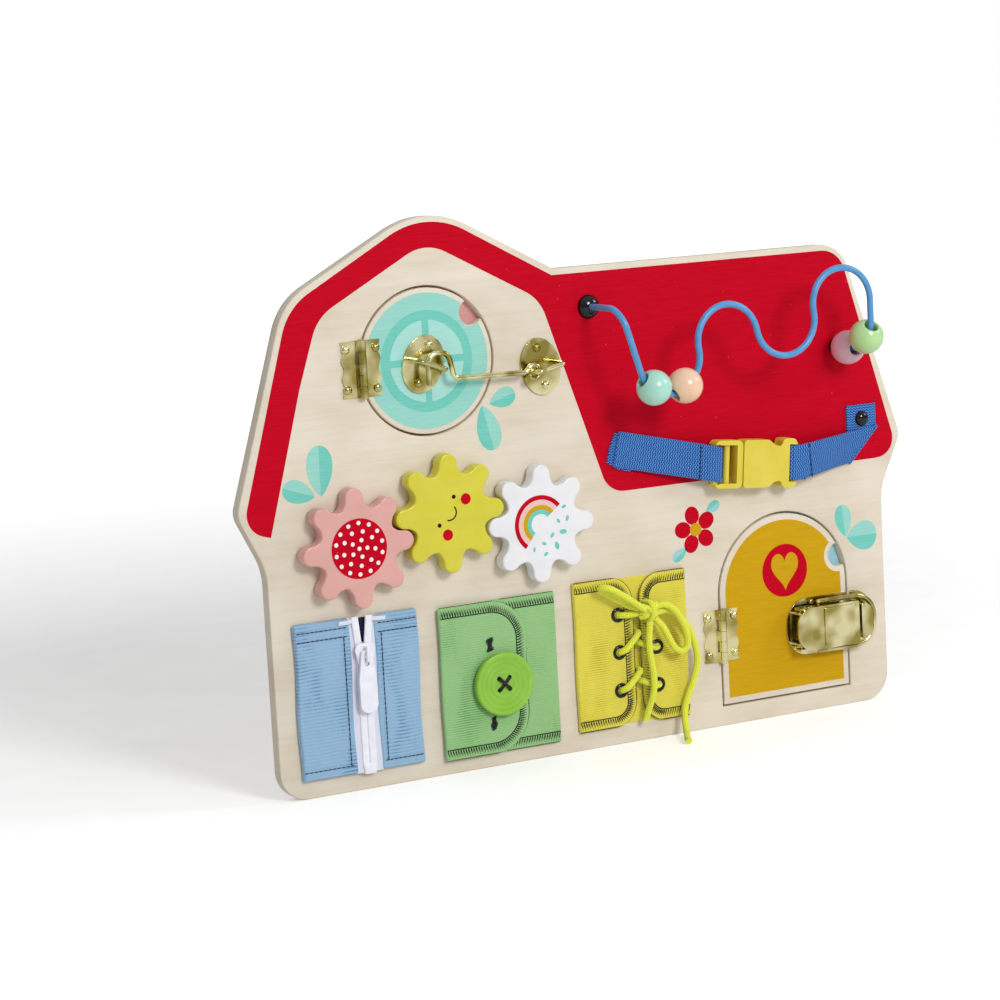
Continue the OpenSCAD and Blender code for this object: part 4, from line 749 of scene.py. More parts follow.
window_hole = WINDOW + circle(WINDOW_R, 144)
slab("front_board", BOARD, FRONT_BACK, 0.0, WOOD, "board", edge=0.7, holes=[window_hole, doorway(0)],
     stands_for=["front_panel"], slot="wood")
slab("back_board", BOARD, BACK_BACK, FRONT_BACK, WOOD, "board", back_edge=0.7, stands_for=["back_panel"],
     slot="wood")
slab("window_backdrop", WINDOW + circle(WINDOW_R - 0.1, 96), FRONT_BACK, FRONT_BACK - INK, DUSTY_PINK_INK,
     "board")
slab("doorway_backdrop", doorway(0.1), FRONT_BACK, FRONT_BACK - INK, SKY_INK, "board")


def printed(name, outline, material, body="board", level=0.0):
    """A print: a film of ink on a surface at depth level."""
    return slab(name, np.asarray(outline, float), level, level - INK, material, body, smooth=False)


# red band round the gable and over the roof of the right wing
RED_BAND = rounded([
    [-190.4, 141.2, 0], [-169, 216.4, 0], [-156.4, 252.8, 26], [-91.3, 287.5, 24], [-24.6, 251.6, 24],
    [12.3, 141.7, 14], [190, 141.7, 0], [206.6, 143, 11], [186, 212, 0], [170.4, 263.9, 16],
    [-16.6, 263.9, 0], [-90, 304.2, 46], [-172.9, 259, 34], [-206, 146, 12]])
printed("red_gable_and_roof", RED_BAND, RED_INK)


LEAF_CURVE = 0.4325  # divides the curve of a leaf's half width, whose greatest value is 0.42


def leaf(name, base, tip, width, light, dark, dark_left=True):
    """A leaf of two halves. Its half width goes as t^0.8 (1 - t)^0.5 along the midrib t."""
    base, tip = np.asarray(base, float), np.asarray(tip, float)
    t = 0.5 - 0.5 * np.cos(np.linspace(0, np.pi, 29))
    rib = base + t[:, None] * (tip - base)
    side = np.array([-(tip - base)[1], (tip - base)[0]]) / np.linalg.norm(tip - base)
    half = (width / 2 * t ** 0.8 * (1 - t) ** 0.5 / LEAF_CURVE)[:, None] * side
    left = np.vstack([rib[1:-1] + half[1:-1], rib[::-1]])
    right = np.vstack([rib, (rib - half)[1:-1][::-1]])
    printed(name + "_left", left, dark if dark_left else light)
    printed(name + "_right", right, light if dark_left else dark)


leaf("leaf_gear_tall", (-160.6, 159.6), (-160.4, 186.4), 15.5, MINT_INK, TEAL_INK, False)
leaf("leaf_gear_short", (-164.2, 159.8), (-182, 166.2), 12.5, MINT_INK, TEAL_INK, True)
leaf("leaf_window_tall", (-63.2, 197.6), (-57.2, 173.2), 14.5, MINT_INK, TEAL_INK, False)
leaf("leaf_window_short", (-58.6, 198.2), (-42.8, 202.8), 11.0, MINT_INK, TEAL_INK, False)
leaf("leaf_door_tall", (168.0, 98.4), (165.6, 117.0), 11.5, MINT_INK, TEAL_INK, True)
leaf("leaf_door_wide", (168.8, 97.8), (189.4, 97.6), 17.5, TEAL_INK, MINT_INK, True)

# a simple flower on the bare wood between the strap and the barn door: five oval petals and an eye
FLOWER = np.array([67.0, 114.6])
PETAL_OUT, PETAL_LONG, PETAL_WIDE = 8.4, 5.2, 4.6  # a petal's middle from the eye, and its half axes
t = np.linspace(0, 2 * np.pi, 40, endpoint=False)[:, None]
for i in range(5):
    turn = np.radians(90 + 72 * i + 14)
    way = np.array([np.cos(turn), np.sin(turn)])
    petal = (FLOWER + way * (PETAL_OUT + PETAL_LONG * np.cos(t))
             + np.array([-way[1], way[0]]) * PETAL_WIDE * np.sin(t))
    printed(f"flower_petal_{i}", petal, RED_INK)
printed("flower_eye", FLOWER + circle(3.7, 40), MUSTARD_INK, level=-INK)
leaf("flower_leaf_low", (60.6, 104.8), (51.6, 98.6), 6.2, SKY_INK, TEAL_INK)
leaf("flower_leaf_high", (74.4, 123.6), (83.2, 128.4), 6.2, SKY_INK, TEAL_INK)


# ---- doors ----

DOOR_BACK = 5.1  # depth of both doors' back faces
NOTCH_R = 6.8  # of the finger notches

# the round door of the window, cut straight on the side of its hinge
ROUND_DOOR_R, HINGE_SIDE_X = 38.8, -132.4
rim = arc(WINDOW, ROUND_DOOR_R, -165, 165, 133)
rim = rim[rim[:, 0] > HINGE_SIDE_X]
edge_z = np.sqrt(ROUND_DOOR_R ** 2 - (HINGE_SIDE_X - WINDOW[0]) ** 2)
rim = np.vstack([[[HINGE_SIDE_X, WINDOW[1] - edge_z]], rim, [[HINGE_SIDE_X, WINDOW[1] + edge_z]]])
window_notch = (-67.0, 248.1)
slab("round_door", notched(rim, window_notch, NOTCH_R), DOOR_BACK, 0.0, WOOD, "window", edge=0.5,
     stands_for=["window_door"], slot="mint_paint")
# its print: a mint field, a darker ring, and four panes between bars that cross
MINT_R, MINT_SIDE_X, RING_R, PANE_R, HALF_BAR = 36.2, -129.8, 27, 21.8, 1.9
mint = notched(WINDOW + circle(MINT_R, 180), window_notch, NOTCH_R + 0.4)
mint = mint[mint[:, 0] > MINT_SIDE_X]
printed("round_door_mint", mint, MINT_INK, "window")
printed("round_door_ring", WINDOW + circle(RING_R, 120), TEAL_INK, "window", -INK)
slip = np.degrees(np.arcsin(HALF_BAR / PANE_R))
for i, (sx, sz) in enumerate([(1, 1), (-1, 1), (-1, -1), (1, -1)]):
    start = np.degrees(np.arctan2(sz, sx)) - 45
    pane = np.vstack([arc(WINDOW, PANE_R, start + slip, start + 90 - slip, 25),
                      [WINDOW + HALF_BAR * np.array([sx, sz])]])
    printed(f"round_door_pane_{i}", pane, PALE_MINT_INK, "window", -2 * INK)

# the barn door, with its mustard field and the heart on a red disc
barn_notch = (162.2, 88.6)
DOOR_GAP, DOOR_LEFT, FIELD_GAP, FIELD_LEFT = 1.2, 81.2, 4.7, 84.8  # in from the doorway, and left sides
slab("arched_door", notched(doorway(DOOR_GAP, DOOR_LEFT), barn_notch, NOTCH_R), DOOR_BACK, 0.0, WOOD, "barn",
     edge=0.5, stands_for=["barn_door"], slot="mustard_paint")
field = doorway(FIELD_GAP, FIELD_LEFT)
field = spaced(np.vstack([field, field[:1]]), 0.8)[:-1]
printed("arched_door_mustard", notched(field, barn_notch, NOTCH_R + 3.0), MUSTARD_INK, "barn")
HEART = np.array([125.2, 84.0])
t = np.linspace(0, 2 * np.pi, 81)[:-1]
heart_z = 13 * np.cos(t) - 5 * np.cos(2 * t) - 2 * np.cos(3 * t) - np.cos(4 * t)
heart = np.stack([0.57 * 16 * np.sin(t) ** 3, 0.75 * heart_z + 1.0], 1) + HEART
printed("heart_disc", HEART + circle(15.2, 72), RED_INK, "barn", -INK)
printed("heart", heart, MUSTARD_INK, "barn", -2 * INK)


# ---- fittings of metal and plastic ----

for node in ("window_frame_leaf", "window_door_leaf", "barn_frame_leaf", "barn_door_leaf"):
    softened(node, BRASS, 0.2)
for node in ("hook_plate_frame", "hook_plate_door"):
    softened(node, BRASS, 0.45, 3)
for node in ("latch_base", "latch_lever", "latch_catch"):
    softened(node, BRASS, 0.4, 3)
softened("latch_hasp", BRASS, 0.0)
beads = {"bead_mint": BEAD_MINT, "bead_peach": BEAD_PEACH, "bead_green": BEAD_GREEN, "bead_pink": BEAD_PINK}
for node, material in beads.items():
    softened(node, material, 0.5, 3)
softened("button", LIME_PLASTIC, 0.35, 3)
for node in ("buckle_female", "buckle_male", "buckle_prongs"):
    softened(node, YELLOW_PLASTIC, 0.6, 3)
softened("zip_slider", ZIP_PLASTIC, 0.25)
softened("zip_pull", ZIP_PLASTIC, 0.5, 3)


def along_arc(centre, start, axis, degrees, radius, step=4.0):
    """Points of an arc in space, after its start: the start direction turned about axis."""
    start, axis = np.asarray(start, float), np.asarray(axis, float)
    t = np.radians(np.linspace(0, degrees, int(degrees / step) + 2)[1:])[:, None]
    return np.asarray(centre, float) + radius * (np.cos(t) * start + np.sin(t) * np.cross(axis, start))


def towards(degrees):
    """The direction at this angle above +x, in the plane of the board."""
    return np.array([np.cos(np.radians(degrees)), 0.0, np.sin(np.radians(degrees))])


# the bead wire: a lead-in that leans by LEAN degrees, two valleys and two peaks in a row that climbs by
# CLIMB degrees, and a straight run down to a bend back to the board. OUT is how far it stands out
WIRE_R, WAVE_R, OUT, CLIMB, LEAN = 1.8, 19.2, 35.0, 10.5, 17
LEAD_LONG, LEAD_BEND_R, LAST_BEND_R, LAST_BEND_Z = 24.2, 12, 16.5, 225.5
IN_BOARD = 5.0  # depth of the wire's two ends
centres = [np.array([34.0, -OUT, 216.0]) + i * 2 * WAVE_R * towards(CLIMB) for i in range(4)]
begin = centres[0] - WAVE_R * towards(LEAN)
lead_way = towards(90 + LEAN)
lead_top = begin + LEAD_LONG * lead_way
lead_end = lead_top + LEAD_BEND_R * (lead_way + (0, 1, 0))
wire_x = centres[3][0] + WAVE_R
wire = np.vstack([
    [[lead_end[0], IN_BOARD, lead_end[2]], lead_end],
    along_arc(lead_top + (0, LEAD_BEND_R, 0), lead_way, np.cross(lead_way, (0, -1, 0)), 90, LEAD_BEND_R),
    [begin],
    along_arc(centres[0], -towards(LEAN), (0, -1, 0), 180 + CLIMB - LEAN, WAVE_R),
    along_arc(centres[1], -towards(CLIMB), (0, 1, 0), 180, WAVE_R),
    along_arc(centres[2], -towards(CLIMB), (0, -1, 0), 180, WAVE_R),
    along_arc(centres[3], -towards(CLIMB), (0, 1, 0), 180 + CLIMB, WAVE_R),
    [[wire_x, -OUT, LAST_BEND_Z]],
    along_arc((wire_x, LAST_BEND_R - OUT, LAST_BEND_Z), (0, -1, 0), (1, 0, 0), 90, LAST_BEND_R),
    [[wire_x, IN_BOARD, LAST_BEND_Z - LAST_BEND_R]]])
points, faces, lengths = carried(wire, circle(WIRE_R, 20), up=(1.0, 0.0, 0.2))
piece("coated_wire", points, faces, WIRE_BLUE, "board", lengths=lengths, stands_for=["bead_wire"],
      slot="wire_blue")

# the cabin hook: tip, crook, rod, neck and eye bent from one wire. tip, high_1, high_2 and low are the
# corners of its line from the free end on, and neck and eye the middles of its last two bends. The eye
# hangs 8.5 mm beside the middle of its plate
HOOK_WIRE_R, HOOK_Y = 1.5, -8.5
PLATE = np.array([-26.8, 0.0, 215.4])
eye = PLATE - 8.5 * towards(11.5) + (0, HOOK_Y, 0)
tip, high_1, high_2 = (-98, HOOK_Y, 212.5), (-98, HOOK_Y, 229), (-86, HOOK_Y, 229)
low = np.array([-83.0, HOOK_Y, 214.8])
rod_way = (eye - low) / np.linalg.norm(eye - low)
rod_up = np.cross(rod_way, (0, 1, 0))
CROOK_R, ROD_BEND_R, NECK_R, EYE_R, EYE_TURN = 5.5, 3, 4.0, 3.6, 284
reach = np.sqrt((EYE_R + NECK_R) ** 2 - NECK_R ** 2)
neck = eye - reach * rod_way + NECK_R * rod_up
neck_turn = 90 - np.degrees(np.arctan2(NECK_R, reach))


def bend(a, b, c, radius):
    """Points of the tangent arc that rounds corner b between a and c."""
    a, b, c = (np.asarray(v, float) for v in (a, b, c))
    u, v = (b - a) / np.linalg.norm(b - a), (c - b) / np.linalg.norm(c - b)
    turn = np.arccos(u @ v)
    start = b - u * radius * np.tan(turn / 2)
    k = (v - u) / np.linalg.norm(v - u)
    centre = b + k * radius / np.cos(turn / 2)
    axis = np.cross(u, v) / np.linalg.norm(np.cross(u, v))
    return np.vstack([[start], along_arc(centre, (start - centre) / radius, axis, np.degrees(turn), radius)])


hook_line = np.vstack([
    [tip], bend(tip, high_1, high_2, CROOK_R), bend(high_1, high_2, low, CROOK_R),
    bend(high_2, low, eye, ROD_BEND_R), [neck - NECK_R * rod_up],
    along_arc(neck, -rod_up, (0, -1, 0), neck_turn, NECK_R),
    along_arc(eye, (neck - eye) / np.linalg.norm(neck - eye), (0, 1, 0), EYE_TURN, EYE_R, 6)])
points, faces, lengths = carried(hook_line, circle(HOOK_WIRE_R, 18))
piece("bent_hook", points, faces, BRASS, "hook", lengths=lengths, stands_for=["cabin_hook"], slot="brass")


# ---- gears ----

GEAR_MID = np.array([-90.4, 143.3])
step = 56 * np.array([np.cos(np.radians(12.5)), np.sin(np.radians(12.5))])
# each gear's middle, turn in degrees, finish, body and slot
GEARS = {
    "left": (GEAR_MID - step, 2.5, GEAR_PINK, "gear_l", "gear_pink"),
    "mid": (GEAR_MID, 0.0, GEAR_YELLOW, "gear_m", "gear_yellow"),
    "right": (GEAR_MID + step * (1, -1), -2.5, GEAR_WHITE, "gear_r", "gear_white"),
}
GEAR_BACK, GEAR_FRONT = -1.5, -10.0  # depths of their faces
GEAR_R, TOOTH, TEETH = 27.25, 4.95, 8  # middle radius, how far it goes out and in, and how often


def gear_outline(centre, phase, count=480):
    """Gear outline: the radius goes out and in by TOOTH as a squared-off cosine, TEETH times round."""
    a = np.linspace(0, 2 * np.pi, count, endpoint=False)
    r = GEAR_R + TOOTH * squared_off(np.cos(TEETH * a), 0.6)
    a = a + np.radians(phase)
    return np.asarray(centre) + r[:, None] * np.stack([np.cos(a), np.sin(a)], 1)


for side, (centre, phase, material, body, slot) in GEARS.items():
    slab("wooden_gear_" + side, gear_outline(centre, phase), GEAR_BACK, GEAR_FRONT, material, body,
         edge=0.9, back_edge=0.9, stands_for=["gear_" + side], slot=slot)

# pink gear: a red disc with white dots on rings
centre = GEARS["left"][0]
printed("pink_gear_disc", centre + circle(16, 90), RED_INK, "gear_l", GEAR_FRONT)
DOT_RINGS = [(13.6, 14, 0.2), (9.2, 9, 0.6), (4.6, 5, 0.0), (0.0, 1, 0.0)]  # radius, dots, turn in radians
dots = []
for r, count, turn in DOT_RINGS:
    a = np.linspace(0, 2 * np.pi, count + 1)[:-1] + turn
    dots.extend(centre + r * np.stack([np.cos(a), np.sin(a)], 1))
for i, dot in enumerate(dots):
    printed(f"pink_gear_dot_{i}", dot + circle(1.15, 20), SPOT_WHITE_INK, "gear_l", GEAR_FRONT - INK)

# yellow gear: two eyes, two cheeks and a smile; the top of the face points up to the left
up_way = np.array([np.cos(np.radians(147)), np.sin(np.radians(147))])
right_way = np.array([up_way[1], -up_way[0]])
for i, s in enumerate((-1, 1)):
    eye_mid = GEAR_MID + 3.0 * up_way + s * 8.6 * right_way
    printed(f"sun_eye_{i}", eye_mid + circle(1.15, 24), BLACK_INK, "gear_m", GEAR_FRONT)
    cheek_mid = GEAR_MID - 4.0 * up_way + s * 10.8 * right_way
    printed(f"sun_cheek_{i}", cheek_mid + circle(3.0, 32), RED_INK, "gear_m", GEAR_FRONT)
smile = arc((0, 1.2), 4.2, 195, 345, 34)  # [right, up] on the face
smile = GEAR_MID + smile[:, :1] * right_way + smile[:, 1:] * up_way
points, faces, lengths = carried(on_plane(smile, GEAR_FRONT), tape_section(0.8, 2 * INK, 8))
piece("sun_smile", points, faces, BLACK_INK, "gear_m", smooth=False)

# white gear: a rainbow of four arcs round the upper left, and drops of rain at the lower right
centre = GEARS["right"][0] + (-1.0, 0.0)
BOW_WIDE, BOW_START, BOW_END = 2.45, 38, 232
bows = [(15.8, RED_INK), (13.1, PALE_PINK_INK), (10.5, MUSTARD_INK), (8.0, TEAL_INK)]
for i, (r, material) in enumerate(bows):
    bow = np.vstack([arc(centre, r, BOW_START, BOW_END, 60),
                     arc(centre, r - BOW_WIDE, BOW_END, BOW_START, 50)])
    printed(f"rainbow_{i}", bow, material, "gear_r", GEAR_FRONT)
# the drops, each an oval: its place from the middle [x, z], and its size
rain = np.array([[14.8, 8.0, 1.0], [16.6, 1.4, 1.1], [11.0, 0.6, 1.0], [13.6, -5.6, 1.5], [6.8, -6.8, 1.1],
                 [9.4, -12.8, 1.5], [1.6, -10.8, 1.0], [2.4, -16.6, 1.0], [-4.6, -13.4, 0.9]])
for i, (x, z, size) in enumerate(rain):
    spin = np.radians(20 + 53 * i)
    turned_by = np.array([[np.cos(spin), -np.sin(spin)], [np.sin(spin), np.cos(spin)]])
    drop = turned_by @ (circle(size, 20) * (1.5, 0.85)).T
    printed(f"rain_{i}", centre + (x, z) + drop.T, TEAL_INK, "gear_r", GEAR_FRONT)


# ---- cloth panels ----

def closer_at_ends(count):
    """So many values from 0 to 1, closer together near both ends."""
    c = np.cos(np.pi * np.linspace(0, 1, count))
    return 0.5 - 0.5 * c * (0.55 + 0.45 * np.abs(c))


def corner_cut(z, z0, z1, radius):
    """How far a rounded side lies in from its straight line at height z."""
    d = np.clip(np.minimum(z - z0, z1 - z), 0, radius)
    return radius - np.sqrt(np.maximum(radius ** 2 - (radius - d) ** 2, 0))


HEM, FULL_SWELL = 1.1, 12  # how far from a flap's edge its hem is up, and it swells in full


def flap(name, left, right, back, front, material, node, slot, left_r=1.5, right_r=1.5, ripple=0.25):
    """A stretched flap: a grid between two sides that waver a little. Its depth rises from the back
    plane over a round hem and swells with the product of two slow waves. left and right are
    [x, z0, z1], and ripple is the height of the waves."""
    z0, z1 = left[1], left[2]
    v, u = closer_at_ends(71), closer_at_ends(49)
    z = z0 + (z1 - z0) * v
    x0 = left[0] + corner_cut(z, z0, z1, left_r)
    x1 = right[0] - corner_cut(z, z0, z1, right_r)
    x0 += 1.2 * ripple * np.sin(z * 0.11)
    x1 += 1.2 * ripple * np.sin(z * 0.09 + 1.3)
    x = x0[:, None] + (x1 - x0)[:, None] * u
    zz = np.repeat(z[:, None], len(u), 1)
    to_edge = np.minimum(np.minimum(x - x0[:, None], x1[:, None] - x), np.minimum(zz - z0, z1 - zz))
    rise = np.sqrt(np.clip(1 - (1 - np.clip(to_edge / HEM, 0, 1)) ** 2, 0, 1))
    swell = ripple * (np.sin(x * 0.21 + zz * 0.06) * np.cos(zz * 0.13 - x * 0.04))
    inside = np.clip(to_edge / FULL_SWELL, 0, 1)
    y = back + (front - back) * rise + np.maximum(swell, -0.15) * inside
    count = x.size
    points = np.concatenate([np.stack([x, y, zz], -1).reshape(-1, 3),
                             np.stack([x, np.full_like(x, back), zz], -1).reshape(-1, 3)])
    face_list = np.array(quads(len(v), len(u), around=False))
    faces = face_list.tolist() + (face_list[:, ::-1] + count).tolist()
    obj = piece(name, points, faces, material, "board", slot=slot)
    work = bmesh.new()
    work.from_mesh(obj.data)
    bmesh.ops.remove_doubles(work, verts=work.verts, dist=1e-7)
    bmesh.ops.recalc_face_normals(work, faces=work.faces)
    work.to_mesh(obj.data)
    work.free()
    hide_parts(node)
    return obj


LINING_Y = -0.8  # the front of the linings, which is the back of the flaps on them

# blue panel: two flaps with the zip between them
BLUE_X0, BLUE_X1, ZIP_X, ZIP_Z0, ZIP_Z1 = -182.5, -110.5, -143.5, 10.0, 94.0
FLAP_GAP = 6.9  # from the zip's middle to each flap
blue_left = flap("blue_flap_left", (BLUE_X0, ZIP_Z0, ZIP_Z1), (ZIP_X - FLAP_GAP, ZIP_Z0, ZIP_Z1),
                 LINING_Y, -3.5, BLUE_COTTON, "zip_flap_left", "cloth_blue", ripple=0.4)
blue_right = flap("blue_flap_right", (ZIP_X + FLAP_GAP, ZIP_Z0, ZIP_Z1), (BLUE_X1, ZIP_Z0, ZIP_Z1),
                  LINING_Y, -3.5, BLUE_COTTON, "zip_flap_right", "cloth_blue", ripple=0.4)
# each flap's seams: three across it, between x0 and x1, and one up it at inner
SEAM_Y = -3.85
SEAM_TOP_Z, SEAM_SECOND_Z, SEAM_LOW_Z = ZIP_Z1 - 4.6, ZIP_Z1 - 9.4, ZIP_Z0 + 5.0
seams = []
for x0, x1, inner in ((-181.5, -152.4, -154.4), (-134.4, -111.5, -132.6)):
    for z in (SEAM_TOP_Z, SEAM_SECOND_Z, SEAM_LOW_Z):
        seams.append(running_stitch(np.linspace([x0, SEAM_Y, z], [x1, SEAM_Y, z], 30)))
    seams.append(running_stitch(np.linspace([inner, SEAM_Y, SEAM_LOW_Z], [inner, SEAM_Y, SEAM_SECOND_Z], 40)))
seam_points, seam_faces = joined(seams)
blue_seams = piece("blue_panel_seams", seam_points, seam_faces, NAVY_THREAD, "board", smooth=False)


def overlock(edge, inward, front, width=6.0, pitch=1.55):
    """Overlocked edge: threads that go over the edge and back at a slant, one along the inside and
    one along the lip. edge and inward are points and unit ways [x, z] along the cloth's edge."""
    at = spaced(np.hstack([edge, inward]), pitch)
    p, n = at[:, :2], at[:, 2:] / np.linalg.norm(at[:, 2:], axis=1)[:, None]
    outer, inner = on_plane(p + n * 0.35, front + 0.35), on_plane(p + n * width, front - 0.12)
    over = stitches(outer[:-1], inner[1:], 0.33)
    back = stitches(inner[:-1], outer[:-1], 0.18)
    rim = stitches(inner[:-1], inner[1:], 0.3)
    lip_line = on_plane(p + n * 0.1, front + 0.75)
    lip = stitches(lip_line[:-1], lip_line[1:], 0.26)
    return [over, back, rim, lip]


def round_side(x, z0, z1, radius, side):
    """A cloth's free edge from top to bottom, with its rounded corners: points and inward ways.
    side is 1 where the cloth lies to the left of the edge."""
    c = np.array([[x - side * radius, z1 - radius], [x - side * radius, z0 + radius]])
    outward, last = (0, -90) if side > 0 else (180, 270)
    top = arc(c[0], radius, 90, outward, 16)
    low = arc(c[1], radius, outward, last, 16)
    ways = np.vstack([c[0] - top, c[1] - low]) / radius
    return np.vstack([top, low]), ways


def overlocked_flap(x, z0, z1, radius, side, fixed_x, front):
    """Threads round a flap: along its top from fixed_x, down its round side, and back along its foot."""
    edge, ways = round_side(x, z0, z1, radius, side)
    edge = np.vstack([[[fixed_x, z1]], edge, [[fixed_x, z0]]])
    ways = np.vstack([[[0, -1]], ways, [[0, 1]]])
    return overlock(edge, ways, front)


# green panel: the left flap laps over the right one
GREEN_X0, GREEN_X1, GREEN_Z0, GREEN_Z1, LAP_X = -98.3, -26.3, 8.0, 92.0, -46.0
OVER_R, OVER_Y, UNDER_Y = 22, -3.6, -2.2  # the round side of the upper flap, and both flaps' front planes
under = flap("green_flap_under", (-74.3, GREEN_Z0, GREEN_Z1), (GREEN_X1, GREEN_Z0, GREEN_Z1), -1.0, UNDER_Y,
             GREEN_COTTON, "button_flap_right", "cloth_green", ripple=0.0)
over = flap("green_flap_over", (GREEN_X0, GREEN_Z0, GREEN_Z1), (LAP_X, GREEN_Z0, GREEN_Z1), -2.4, OVER_Y,
            GREEN_COTTON, "button_flap_left", "cloth_green", right_r=OVER_R, ripple=0.2)
threads = overlocked_flap(LAP_X, GREEN_Z0, GREEN_Z1, OVER_R, 1, GREEN_X0 + 1, OVER_Y)
for z, way in ((GREEN_Z1, -1), (GREEN_Z0, 1)):
    straight = np.array([[-60.0, z], [GREEN_X1 - 0.8, z]])
    threads += overlock(straight, np.array([[0, way], [0, way]]), UNDER_Y)
# bars of thread at both ends of the buttonhole
BUTTON = np.array([-62.6, 0.0, 46.5])
BAR_LEFT, BAR_RIGHT, BAR_Y = -68.6, -68.2, -3.9
for s in (-1, 1):
    z = BUTTON[2] + s * np.linspace(18.6, 25.0, 9)
    reach = 1.5 + 0.5 * np.sin(9 * z)
    threads.append(stitches(np.stack([BAR_LEFT - reach, np.full(9, BAR_Y), z - 0.5], 1),
                            np.stack([BAR_RIGHT + reach, np.full(9, BAR_Y), z + 0.6], 1), 0.42))
points, faces = joined(threads)
green_threads = piece("green_panel_overlock", points, faces, BLACK_THREAD, "board", smooth=False)

# yellow panel: two flaps laced together
YELLOW_X0, YELLOW_X1, YELLOW_Z0, YELLOW_Z1 = -14.8, 57.2, 10.5, 94.5
INNER_LEFT, INNER_RIGHT, LACED_R, LACED_Y = 22.5, 26.5, 14, -2.8  # their inner sides, and their front plane
lace_left = flap("yellow_flap_left", (YELLOW_X0, YELLOW_Z0, YELLOW_Z1), (INNER_LEFT, YELLOW_Z0, YELLOW_Z1),
                 LINING_Y, LACED_Y, YELLOW_COTTON, "lace_flap_left", "cloth_yellow", right_r=LACED_R,
                 ripple=0.15)
lace_right = flap("yellow_flap_right", (INNER_RIGHT, YELLOW_Z0, YELLOW_Z1), (YELLOW_X1, YELLOW_Z0, YELLOW_Z1),
                  LINING_Y, LACED_Y, YELLOW_COTTON, "lace_flap_right", "cloth_yellow", left_r=LACED_R,
                  ripple=0.15)
threads = []
for x, side, outer in ((INNER_LEFT, 1, YELLOW_X0 + 0.8), (INNER_RIGHT, -1, YELLOW_X1 - 0.8)):
    threads += overlocked_flap(x, YELLOW_Z0, YELLOW_Z1, LACED_R, side, outer, LACED_Y)
points, faces = joined(threads)
yellow_threads = piece("yellow_panel_overlock", points, faces, BLACK_THREAD, "board", smooth=False)

# eyelets: a rolled black ring round each hole, [radius, height] round its section
ring = [[2.3, -2.0], [2.3, 0.5], [2.55, 0.9], [3.2, 1.05], [3.9, 0.8], [4.2, 0.35], [4.2, 0.0],
        [2.9, -0.05], [2.9, -2.0]]
points, faces = joined([turned(ring + ring[:1], (x, LACED_Y, z)) for x in EYELET_X for z in EYELET_Z])
piece("rolled_eyelets", points, faces, BLACK_LACQUER, "board", stands_for=["eyelets"], slot="black_metal")

# zip: two tapes whose inner edges part above the slider. Each is carried with a section whose half width
# is 1, which is then drawn out to the tape's own half width. Its map is drawn out across by 5
V_OPEN, SLIDER_Z = 2.1, 74.0  # how far each side has parted at the top, and the slider's height
TAPE_INNER, TAPE_OUTER = 1.3, 8.4  # the tape's edges, from the zip's middle
tape_z = np.array([ZIP_Z0, ZIP_Z0 + 2, SLIDER_Z + 2, ZIP_Z1])
section = tape_section(2, 0.6, 16)
tapes = []
for s in (-1, 1):
    inner = ZIP_X + s * np.array([TAPE_INNER, TAPE_INNER, TAPE_INNER, TAPE_INNER + V_OPEN])
    outer = np.full(4, ZIP_X + s * TAPE_OUTER)
    line = spaced(np.stack([(inner + outer) / 2, np.full(4, -2.5), tape_z], 1), 2.0)
    half = np.interp(line[:, 2], tape_z, np.abs(outer - inner) / 2)
    points, faces, lengths = carried(line, section)
    grid = points.reshape(len(line), len(section), 3)
    middle = line[:, None]
    grid[..., 0] = middle[..., 0] + (grid[..., 0] - middle[..., 0]) * half[:, None]
    tapes.append((grid.reshape(-1, 3), faces, lengths * (1, 5)))
points, faces, lengths = joined(tapes)
tape = piece("zip_tape_pair", points, faces, ZIP_TAPE, "board", lengths=lengths, stands_for=["zip_tapes"],
             slot="tape_white")

# the rows of teeth: two smooth beads that meet below the slider, and the stop at their foot
rows = []
for s in (-1, 1):
    z = np.linspace(ZIP_Z0 + 3.0, ZIP_Z1 + 0.4, 60)
    spread = np.clip((z - SLIDER_Z - 2) / (ZIP_Z1 - SLIDER_Z - 2), 0, 1) ** 0.8 * V_OPEN
    line = np.stack([ZIP_X + s * (2.05 + spread), -2.9 - 0.3 * spread, z], 1)
    rows.append(carried(line, tape_section(4.0, 1.6, 24))[:2])
stop_line = [[ZIP_X, -3.1, ZIP_Z0 - 0.4], [ZIP_X, -3.3, ZIP_Z0 + 0.2], [ZIP_X, -3.3, ZIP_Z0 + 4.0],
             [ZIP_X, -3.1, ZIP_Z0 + 4.6]]
rows.append(carried(stop_line, tape_section(7.0, 1.9, 24))[:2])
points, faces = joined(rows)
piece("zip_rows_and_stop", points, faces, ZIP_PLASTIC, "board", stands_for=["zip_chain"], slot="zip_white")
# the tapes' top ends, turned out over the hems
ends = []
for s in (-1, 1):
    line = [[ZIP_X + s * 3.2, -3.9, ZIP_Z1 - 1.4], [ZIP_X + s * 8.6, -4.1, ZIP_Z1 - 2.0],
            [ZIP_X + s * 13.6, -4.0, ZIP_Z1 - 2.2]]
    ends.append(carried(line, tape_section(2.2, 0.5, 16)))
points, faces, lengths = joined(ends)
piece("zip_tape_ends", points, faces, ZIP_TAPE, "board", lengths=lengths, slot="tape_white")

